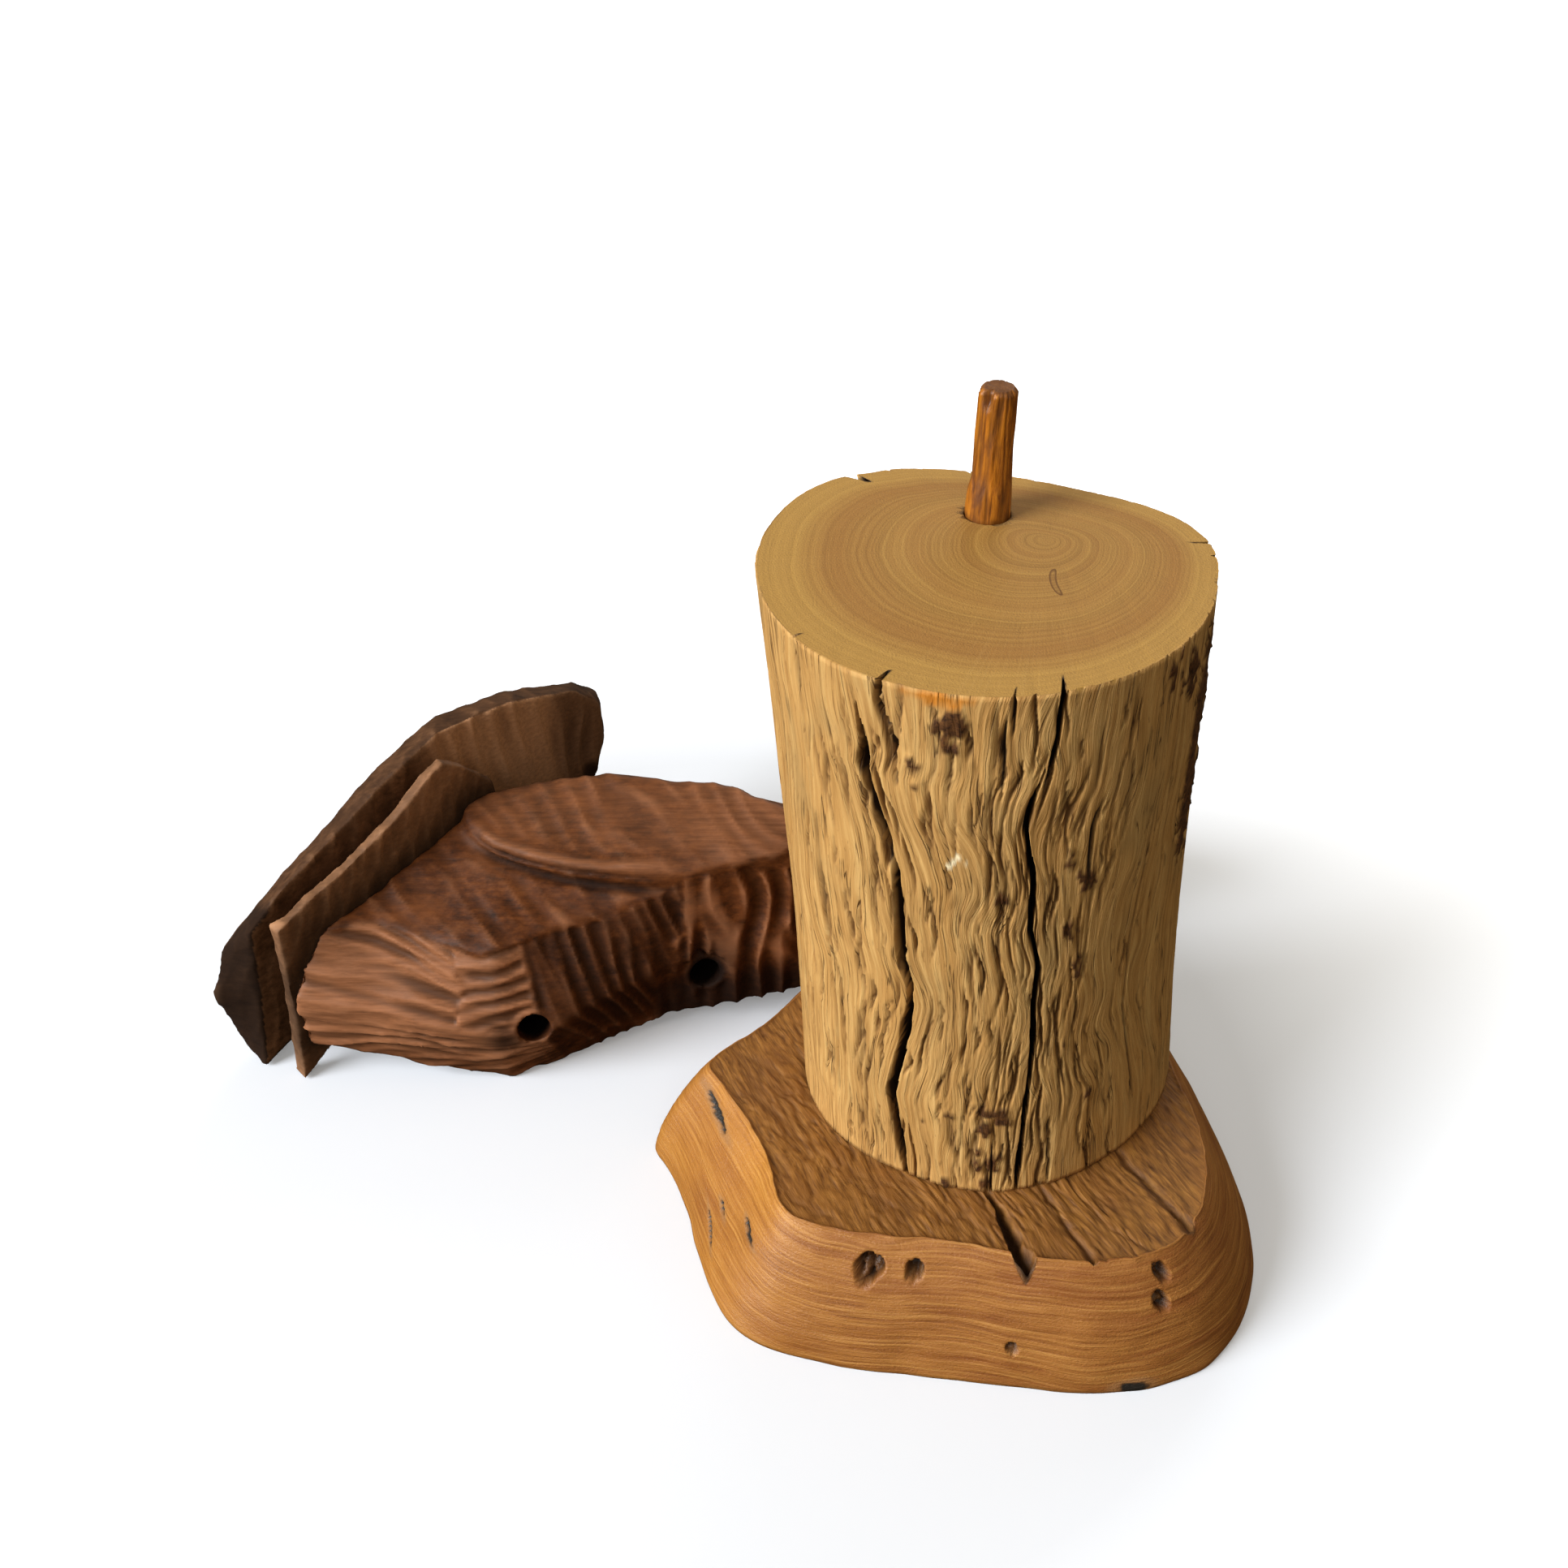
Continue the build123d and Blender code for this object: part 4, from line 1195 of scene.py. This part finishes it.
def lip_distance(points):
    """How far inside the wing's lower edge each point is in plan, and how strong the lip is there."""
    route = smooth_route(WING_EDGE)
    best = np.full(len(points), 1e3)
    inside = np.full(len(points), 1e3)
    for (x0, y0), (x1, y1) in zip(route, route[1:]):
        length = math.hypot(x1 - x0, y1 - y0)
        ux, uy = (x1 - x0) / length, (y1 - y0) / length
        along = np.clip((points[:, 0] - x0) * ux + (points[:, 1] - y0) * uy, 0, length)
        dx, dy = points[:, 0] - x0 - along * ux, points[:, 1] - y0 - along * uy
        apart = np.hypot(dx, dy)
        side = np.where(dx * -uy + dy * ux > 0, 1, -1)
        inside = np.where(apart < best, apart * side, inside)
        best = np.minimum(best, apart)
    starts = smooth_step(points[:, 0], *LIP_STARTS)
    ends = smooth_step(-points[:, 0], -LIP_ENDS[1], -LIP_ENDS[0])
    return inside, starts * ends


def cut_row(across, along, period, seed):
    """One row of long cuts side by side: 0 on the ridges, 1 in the middle of a cut, and a tone for each."""
    level = np.full_like(across, seed)
    warp = noise(np.stack([along / 30, across / (2.6 * period), level], -1), 1.0)
    phase = across / period + 0.8 * warp
    cut = np.abs(np.sin(np.pi * phase)) ** 0.8
    strength = noise(np.stack([along / 19, across / (1.2 * period), level], -1), 1.0, 5)
    tone = (np.floor(phase) * 0.618 + seed) % 1
    return cut * np.clip(0.8 + 0.8 * strength, 0.25, 1.2), tone


def side_by_side(across, along, period, seed, slant=0.16):
    """Two rows of cuts that cross at a low angle, so that their ridges run together and part."""
    first, tone = cut_row(across, along, period, seed)
    second, second_tone = cut_row(across + slant * along, along, 1.4 * period, seed + 4)
    return np.maximum(first, 0.62 * second), np.where(second > first, second_tone, tone)


def body_strokes(points, normals):
    """The way, length, width and depth of the separate gouge strokes on the bird's body."""
    x, y, z = points.T
    _, ny, nz = normals.T
    way = np.tile([1.0, 0.0, 0.0], (len(points), 1))
    length = np.full(len(points), 26.0)
    width = np.full(len(points), 9.0)
    depth = np.full(len(points), 0.55)

    def region(where, run, long, wide, deep):
        way[where] = np.broadcast_to(run, way.shape)[where]
        length[where] = long
        width[where] = wide
        depth[where] = deep

    belly = (z < route_at(BELLY_EDGE, x)) & (ny < -0.25)
    upper = (nz > 0.25) & ~belly
    wing = upper & (z > 60) & (x > -166) & (x < -34) & (y > 49)
    region(upper & ~wing, FLANK_ALONG, 34, 9.5, 0.6)
    region(wing, WING_ALONG, 26, 9.5, 0.5)
    to_meet = np.stack([FLUTES_MEET[0] - x, 0 * x, FLUTES_MEET[1] - z], -1)
    region(belly & (x < -137), to_meet, 34, 6.0, 1.5)
    region((x > -30) & (x < 20), (1.0, 0.1, 0.0), 15, 7.0, 0.4)
    region(x >= 20, (1.0, 0.0, 0.0), 9, 4.5, 0.22)
    sway = 0.25 * noise(points, 17, 3)
    way = way + np.cross(normals, way) * sway[:, None]
    return way, length, width, depth


def past(border):
    """0 before a border and 1 past it, with a soft edge. border is how far past it each point is."""
    return smooth_step(border, -1.5, 1.5)


def cut_rows(points, normals):
    """The rows of long cuts: for each, where it is (0 to 1), its cuts, their tone and their depth."""
    x, _, z = points.T
    wobble = 2.4 * noise(points, (6, 6, 5), 8)
    edge = route_at(BELLY_EDGE, x) + 0.5 * wobble
    belly = smooth_step(edge - z, -0.8, 1.2) * smooth_step(-normals[:, 1], 0.1, 0.3)
    top = (1 - belly) * smooth_step(normals[:, 2], 0.2, 0.5)
    inside_wing = lip_distance(points)[0]
    flank = top * smooth_step(-x, 52, 66) * smooth_step(-inside_wing, 2, 8)
    wing = top * smooth_step(-x, 36, 60) * smooth_step(inside_wing, 4, 9)
    down_flank = points @ FLANK_ALONG
    across_flank = points @ FLANK_ACROSS

    # The belly's cuts fade towards the table.
    belly = belly * (1 - 0.6 * smooth_step(-z, -20, -8))
    front_start = route_at(FLUTES_END, z) + 0.5 * wobble
    ribs_start = route_at(RIBS_START, z) + wobble
    flutes = FLUTES_SHARE * belly * past(front_start - x)
    level_start = smooth_step(x + wobble - FLUTES_BREAK[0], -1.2, 1.2)
    level = flutes * level_start * smooth_step(z + wobble - FLUTES_BREAK[1], -2, 2)
    front = belly * past(x - front_start) * past(ribs_start - x)
    ribs = belly * past(x - ribs_start) * smooth_step(RIBS_END + wobble - x, -4, 4)
    from_meet = np.hypot(x - FLUTES_MEET[0], z - FLUTES_MEET[1])
    turn = np.arctan2(z - FLUTES_MEET[1], FLUTES_MEET[0] - x)
    return {
        "flank": (0.75 * flank, *side_by_side(across_flank, down_flank, 8.6, 0.5), 0.9),
        "wing": (0.7 * wing, *side_by_side(across_flank, down_flank, 7.4, 0.9, 0.24), 0.8),
        "slanted": (flutes - level, *side_by_side(turn * 95, from_meet, 6.4, 0.3), 2.6),
        "level": (level, *side_by_side(z - 0.12 * x, x, 6.6, 0.45), 2.6),
        "front": (front, *side_by_side(0.94 * x + 0.33 * z, z, 5.4, 0.7), 1.7),
        "ribs": (ribs, *side_by_side(x + 0.06 * z, z, 7.4, 0.1), 2.7),
    }


def bore_marks(points):
    """How free each point is to be carved: 0 at the peg holes, so that they stay round. And their shade."""
    free = np.ones(len(points))
    shade = np.zeros(len(points))
    for mouth in BORE_MOUTHS:
        nearer_neck = mouth[0] > -100
        apart = points - mouth
        along = apart @ BORE_WAY
        off = np.linalg.norm(apart - along[:, None] * BORE_WAY, axis=1)
        near = (along > BORE_SPAN[0]) & (along < BORE_SPAN[1])
        away = smooth_step(off, BORE_RADIUS + 0.4, BORE_RADIUS + 3.4)
        free = np.where(near, np.minimum(free, away), free)
        bore = near & (off < BORE_RADIUS + 0.9) & (along < -0.5)
        shade = np.where(bore, np.clip(-along / 10, 0.3, 1), shade)
        pared = smooth_step(-off, -SPOT_RADIUS, -BORE_RADIUS) * nearer_neck
        shade = np.maximum(shade, 0.95 * near * pared)
    return free, shade


def softened(crisp, normals, free):
    """The body's points with rounded edges, softer at the tail's root, the head and a bend of the belly."""
    rounded = remeshed("carved_body", BODY_VOXEL, 10)[0]
    soft = remeshed("carved_body", BODY_VOXEL, 45)[0]
    x, y, z = crisp.T
    root = smooth_step(-x, 150, 158) + smooth_step(y, 66, 74) * (z > 58)
    head = smooth_step(x, -46, -26) * smooth_step(-x, -62, -46)
    bend = 0.9 * bell(x, -147, 8) * smooth_step(-normals[:, 1], 0.1, 0.4) * (z > 6)
    softness = np.clip(root + head + bend, 0, 1) * free * (z > 3)
    return blended(blended(crisp, rounded, free[:, None]), soft, softness[:, None])


def wing_lip(points, normals):
    """The wing's lower edge: a rounded lip, and a crease cut under it."""
    inside, beside = lip_distance(points)
    beside = beside * smooth_step(normals[:, 2], 0.0, 0.3) * (points[:, 2] > 55)
    return bell(inside, 2.4, 1.8) * beside, bell(inside, -0.8, 1.0) * beside


def pared_hollows(points):
    """Depth and shade of the pared places beside the peg holes."""
    depth = np.zeros(len(points))
    shade = np.zeros(len(points))
    for middle, reach, deep, dark in HOLLOWS:
        nearby = bell(np.linalg.norm(points - middle, axis=1), 0, reach)
        depth += deep * nearby
        shade = np.maximum(shade, dark * nearby)
    return depth, shade


def carved_rows(cut, share, tone, scale, rows):
    """Rows of long cuts laid over the separate strokes."""
    for where, cuts, own_tone, deep in rows:
        cut = blended(cut, deep * (cuts - 0.5), where)
        share = blended(share, cuts, where)
        tone = blended(tone, own_tone, where)
        scale = blended(scale, deep, where)
    return cut, share, tone, scale


def make_body():
    crisp, normals, faces = remeshed("carved_body", BODY_VOXEL, 3)
    free, bore_shade = bore_marks(crisp)
    lip, crease = wing_lip(crisp, normals)
    points = softened(crisp, normals, free)
    strokes = body_strokes(points, normals)
    depth = strokes[3]
    cut, share, tone = gouged(points, normals, strokes, 12)
    rows = cut_rows(points, normals)
    cut, share, tone, scale = carved_rows(cut - 0.35 * depth, share, tone, depth, rows.values())
    hollow, hollow_shade = pared_hollows(points)
    rise = 0.3 * noise(points, 12, 5)
    inwards = (cut + rise) * free * (1 - 0.7 * crease) - 1.2 * lip + 1.8 * crease
    points = points - normals * inwards[:, None] - BORE_WAY * hollow[:, None]
    points[:, 2] = np.maximum(points[:, 2], ALMOST_TABLE)

    share = share * free
    deep_enough = np.clip(scale / 1.4, 0.2, 1)
    x, _, z = points.T
    under = smooth_step(x, -104, -96) * smooth_step(-x, 20, 40) * smooth_step(-z, -38, -22)
    under = np.maximum(under, smooth_step(-normals[:, 2], 0.25, 0.7))
    shoulder = smooth_step(x, -108, -62) * smooth_step(normals[:, 2], 0.3, 0.6) * smooth_step(-x, 10, 30)
    front = rows["front"][0]
    flutes = (rows["slanted"][0] + rows["level"][0]) / FLUTES_SHARE
    # Painted highlight on the lip, painted sheen over paler wood on the flutes, painted light on the
    # shoulder's upward faces, and a lighter wing.
    lit_and_pale = 0.62 * flutes + 0.45 * lip + 0.25 * shoulder + 0.2 * rows["wing"][0]
    crests = np.clip((0.5 - share) * 1.9, 0, 1) * deep_enough * free
    marks = {
        # Ridges: wear and a painted highlight, less of it under the body and on its front, where shade is
        # painted.
        "ridge": crests * (1 - 0.7 * under) * (1 - 0.5 * front),
        "groove": smooth_step(share, 0.6, 1.0) * deep_enough * (1 + 0.4 * flutes),
        "shade": np.maximum.reduce([bore_shade, 0.85 * crease, 0.42 * front, 0.8 * under, hollow_shade]),
        "tone": tone,
        "lit_and_pale": np.clip(lit_and_pale, 0, 1),
    }
    paint = carved_material("bird_wood", BIRD_DARK, BIRD_MIDDLE, BIRD_LIGHT, BIRD_WEAR_AND_HIGHLIGHT, 0.5)
    piece("body_carved", points, faces, marks, "bird", paint, "carved_body")


# The tail stands on edge, turned from +X, with its foot at the table.
TAIL_TURN = math.radians(43)
TAIL_ALONG = np.array([math.cos(TAIL_TURN), math.sin(TAIL_TURN), 0.0])
TAIL_FACING = np.array([math.sin(TAIL_TURN), -math.cos(TAIL_TURN), 0.0])
TAIL_FOOT = np.array([-235.0, 31.0, 0.0])
TAIL_END_LENGTH = 16.0  # the darker end of the fan, near the tail's foot
LOBE_STARTS = (72.0, 88.0)  # along the tail, where the fan's bare lobe begins
TAIL_LAYERS = [
    # node, name, voxel, smoothing passes, seed, size of the strokes, the solid that shades it, and how far
    ("tail_fan", "tail_fan_carved", 0.9, 26, 31, 1.0, "tail_coverts", 9.0),
    ("tail_coverts", "tail_coverts_carved", 0.75, 8, 33, 0.7, "carved_body", 14.0),
]
TAIL_DARK = srgb(56, 34, 19)
TAIL_MIDDLE = srgb(98, 66, 42)
TAIL_LIGHT = srgb(126, 88, 60)
# The lightest tail colour stands for wear and a painted highlight.
TAIL_WEAR_AND_HIGHLIGHT = srgb(184, 138, 102)


def tail_strokes(normals, broad):
    """The way, length, width and depth of the gouge strokes on a layer of the tail."""
    on_edge = np.abs(normals @ TAIL_FACING) < 0.6
    way = np.tile(0.25 * TAIL_ALONG + np.array([0, 0, 1.0]), (len(normals), 1))
    way[on_edge] = TAIL_ALONG + np.array([0, 0, 0.5])
    length = np.where(on_edge, 16.0, 30.0) * broad
    width = np.where(on_edge, 8.0, 9.0) * broad
    depth = np.where(on_edge, 0.55, 0.75) * broad
    return way, length, width, depth


def nearness(points, node, reach):
    """1 at the surface of a CAD solid, falling to 0 at reach from it."""
    tree = cad_tree(node)
    apart = np.array([tree.find_nearest(Vector(point))[3] for point in points])
    return np.clip(1 - apart / reach, 0, 1)


def make_tail_layer(paint, node, name, voxel, passes, seed, broad, neighbour, reach):
    fan = float(node == "tail_fan")
    points, normals, faces = remeshed(node, voxel, passes)
    strokes = tail_strokes(normals, broad)
    depth = strokes[3]
    cut, share, tone = gouged(points, normals, strokes, seed, 5000)
    along = (points - TAIL_FOOT) @ TAIL_ALONG
    offset = (points - TAIL_FOOT) @ TAIL_FACING
    facing = normals @ TAIL_FACING
    # The fan's bare lobe, turned away from the key lamp, gets painted light.
    lobe = fan * smooth_step(along, *LOBE_STARTS) * smooth_step(facing, 0.5, 0.8)
    lobe_rows = (lobe, *side_by_side(along + 0.12 * points[:, 2], points[:, 2], 8.5, 0.4), 1.2)
    cut, share, tone, _ = carved_rows(cut - 0.3 * depth, share, tone, depth, [lobe_rows])
    rise = 0.4 * noise(points, 13, 5)
    recess = nearness(points, neighbour, reach)
    # The coverts' free edge is rounded over towards the front, and their end by the foot is a fin.
    band = (1 - fan) * smooth_step(-offset, -10.0, -6.0) * smooth_step(offset, 2.0, 4.2)
    fin = (1 - fan) * smooth_step(-along, -12, -3)
    points = points + TAIL_FACING * (3.2 * band)[:, None] - normals * (cut + rise)[:, None]
    points = points - TAIL_ALONG * (1.8 * fin)[:, None] - TAIL_FACING * (2.8 * fin * (facing < 0))[:, None]
    points[:, 2] = np.maximum(points[:, 2], ALMOST_TABLE)

    foot = smooth_step(-along, -TAIL_END_LENGTH, -0.6 * TAIL_END_LENGTH) * (facing < 0.97) * (facing > -0.5)
    rim = (np.abs(facing) < 0.7) * (normals[:, 2] > 0)
    corner = smooth_step(along, 136, 146) * smooth_step(-points[:, 2], -66, -56)
    corner = np.maximum(corner, 0.5 * smooth_step(along, 127, 138))
    fan_shade = fan * np.maximum.reduce([0.9 * foot, 0.85 * corner, 0.35 * rim])
    # Painted light on the coverts' rim, their fin and the upper part of their face, over a little paler
    # wood.
    face_lit_and_pale = 0.34 + 0.4 * smooth_step(-offset, -14, -6)
    coverts_lit_and_pale = np.maximum(np.where(np.abs(facing) < 0.75, 0.3, face_lit_and_pale), fin)
    marks = {
        "ridge": np.clip((0.34 - share) * 1.8, 0, 1) * 0.7,
        "groove": smooth_step(share, 0.6, 1.0) * 0.6,
        "shade": np.clip(np.maximum(fan_shade, 0.8 * recess), 0, 1),
        "tone": tone,
        "lit_and_pale": np.clip(lobe * (1 - corner) + (1 - fan) * coverts_lit_and_pale, 0, 1),
    }
    piece(name, points, faces, marks, "bird", paint, node)


def make_tail():
    paint = carved_material("tail_wood", TAIL_DARK, TAIL_MIDDLE, TAIL_LIGHT, TAIL_WEAR_AND_HIGHLIGHT, 0.6)
    for layer in TAIL_LAYERS:
        make_tail_layer(paint, *layer)


# ---- floor, light and camera --------------------------------------------------------------------
FLOOR_SIZE = 5.0
FLOOR_COLOUR = (0.68, 0.73, 0.81, 1)
FLOOR_GLOW = 0.16  # near the object
FLOOR_NEAR, FLOOR_FAR = 0.19, 0.43  # how far from the centre the glow begins to rise and is full
FLOOR_CENTRE = (-0.08, 0.02, 0.0)  # between the bird and the stand
ROOM_SIZE = 4.9
ROUND_SIDES = 96
WHITE = (1, 1, 1, 1)
BLACK = (0, 0, 0, 1)
WORLD_STOPS = [(0.44, (0.035, 0.022, 0.012, 1)), (0.62, (0.36, 0.30, 0.21, 1))]
LIGHT_AIM = Vector((-0.03, 0.0, 0.08))
LAMPS = [  # name, place, size, power
    ("key", (-2.5, -1.2, 1.62), 1.9, 150.0),
    ("fill", (-0.2, -2.6, 2.2), 1.8, 16.0),
    ("back", (0.9, 2.8, 1.6), 2.0, 22.0),
]
CAMERA_PLACE = (-0.0533, -0.353, 0.422)
CAMERA_TILT = math.radians(52.4)
CAMERA_LENS, CAMERA_SENSOR = 36.04, 36.0


def stage_paint(name, colour, strength):
    """A matt paint that also gives off some white light of its own."""
    paint = Paint(name, 0.9, 0.0)
    paint.inputs["Base Color"].default_value = colour
    paint.inputs["Emission Color"].default_value = WHITE
    paint.feed(paint.inputs["Emission Strength"], strength(paint))
    return paint.material


def stage_object(name, points, faces, material):
    """A thing of the studio, which the camera sees and which throws no light on the object."""
    mesh = bpy.data.meshes.new(name)
    mesh.from_pydata(points, [], faces)
    mesh.materials.append(material)
    obj = linked(name, mesh)
    obj.visible_diffuse = False
    obj.visible_glossy = False
    return obj


def far_glow(paint):
    """The floor gives off little light near the object, and is plain white far from it."""
    feeds = {0: paint.place(), 1: FLOOR_CENTRE}
    away = paint.add("VectorMath", feeds, operation="DISTANCE").outputs["Value"]
    return paint.levels(away, FLOOR_NEAR, FLOOR_FAR, FLOOR_GLOW, 1.0)


def make_floor():
    rim = on_cylinder(FLOOR_SIZE, circle_turns(ROUND_SIDES), 0.0).tolist()
    stage_object("floor", rim, [tuple(range(ROUND_SIDES))], stage_paint("floor", FLOOR_COLOUR, far_glow))


def make_room():
    """A white room round the floor, which only the camera sees."""
    rises = np.linspace(-0.5 * np.pi, 0.5 * np.pi, 25)[1:-1, None]
    shell = on_cylinder(ROOM_SIZE * np.cos(rises), circle_turns(ROUND_SIDES), ROOM_SIZE * np.sin(rises))
    poles = [(0, 0, -ROOM_SIZE), (0, 0, ROOM_SIZE)]
    points = shell.reshape(-1, 3).tolist() + poles
    paint = stage_paint("room", BLACK, lambda paint: 1.0)
    room = stage_object("room", points, ring_faces(len(rises), ROUND_SIDES), paint)
    room.visible_shadow = False


def make_world():
    """What the object reflects is lighter above than below."""
    world = bpy.data.worlds.new("studio")
    world.use_nodes = True
    sky = Nodes(world.node_tree)
    way = sky.add("TexCoord", {}).outputs["Generated"]
    up = sky.add("SeparateXYZ", {0: way}).outputs["Z"]
    shade = sky.ramp(sky.levels(up, -1.0, 1.0), WORLD_STOPS)
    sky.feed(sky.nodes["Background"].inputs["Color"], shade)
    bpy.context.scene.world = world


def make_lamps():
    for name, place, size, power in LAMPS:
        light = bpy.data.lights.new(name, "AREA")
        light.shape = "DISK"
        light.size = size
        light.energy = power
        lamp = linked(name, light)
        lamp.location = place
        lamp.rotation_mode = "QUATERNION"
        lamp.rotation_quaternion = (LIGHT_AIM - Vector(place)).to_track_quat("-Z", "Y")
        lamp.visible_camera = False


def make_camera():
    data = bpy.data.cameras.new("camera")
    data.sensor_width = CAMERA_SENSOR
    data.lens = CAMERA_LENS
    camera = linked("camera", data)
    camera.location = CAMERA_PLACE
    camera.rotation_euler = (CAMERA_TILT, 0, 0)
    bpy.context.scene.camera = camera
    bpy.context.scene.view_settings.view_transform = "Standard"


def paint_node(node, material):
    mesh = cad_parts[node].data
    mesh.materials.clear()
    mesh.materials.append(material)


def log_foot(log):
    """The outline of the log's side at its foot, in mm in plan."""
    low = [v.co[:2] for v in log.data.vertices if v.co.z < (LOG_LOW + FOOT_BAND) * MM]
    low = np.array(low) / MM
    return low[np.hypot(*(low - low.mean(0)).T) > FOOT_RING_REACH]


# ---- the scene ----------------------------------------------------------------------------------
make_floor()
make_room()
make_world()
make_lamps()
make_camera()
make_slab(log_foot(make_log()))
make_peg()
make_body()
make_tail()
steel = steel_material()
paint_node("base_screws", steel)
paint_node("base_washers", steel)
paint_node("tail_dowels", peg_material())
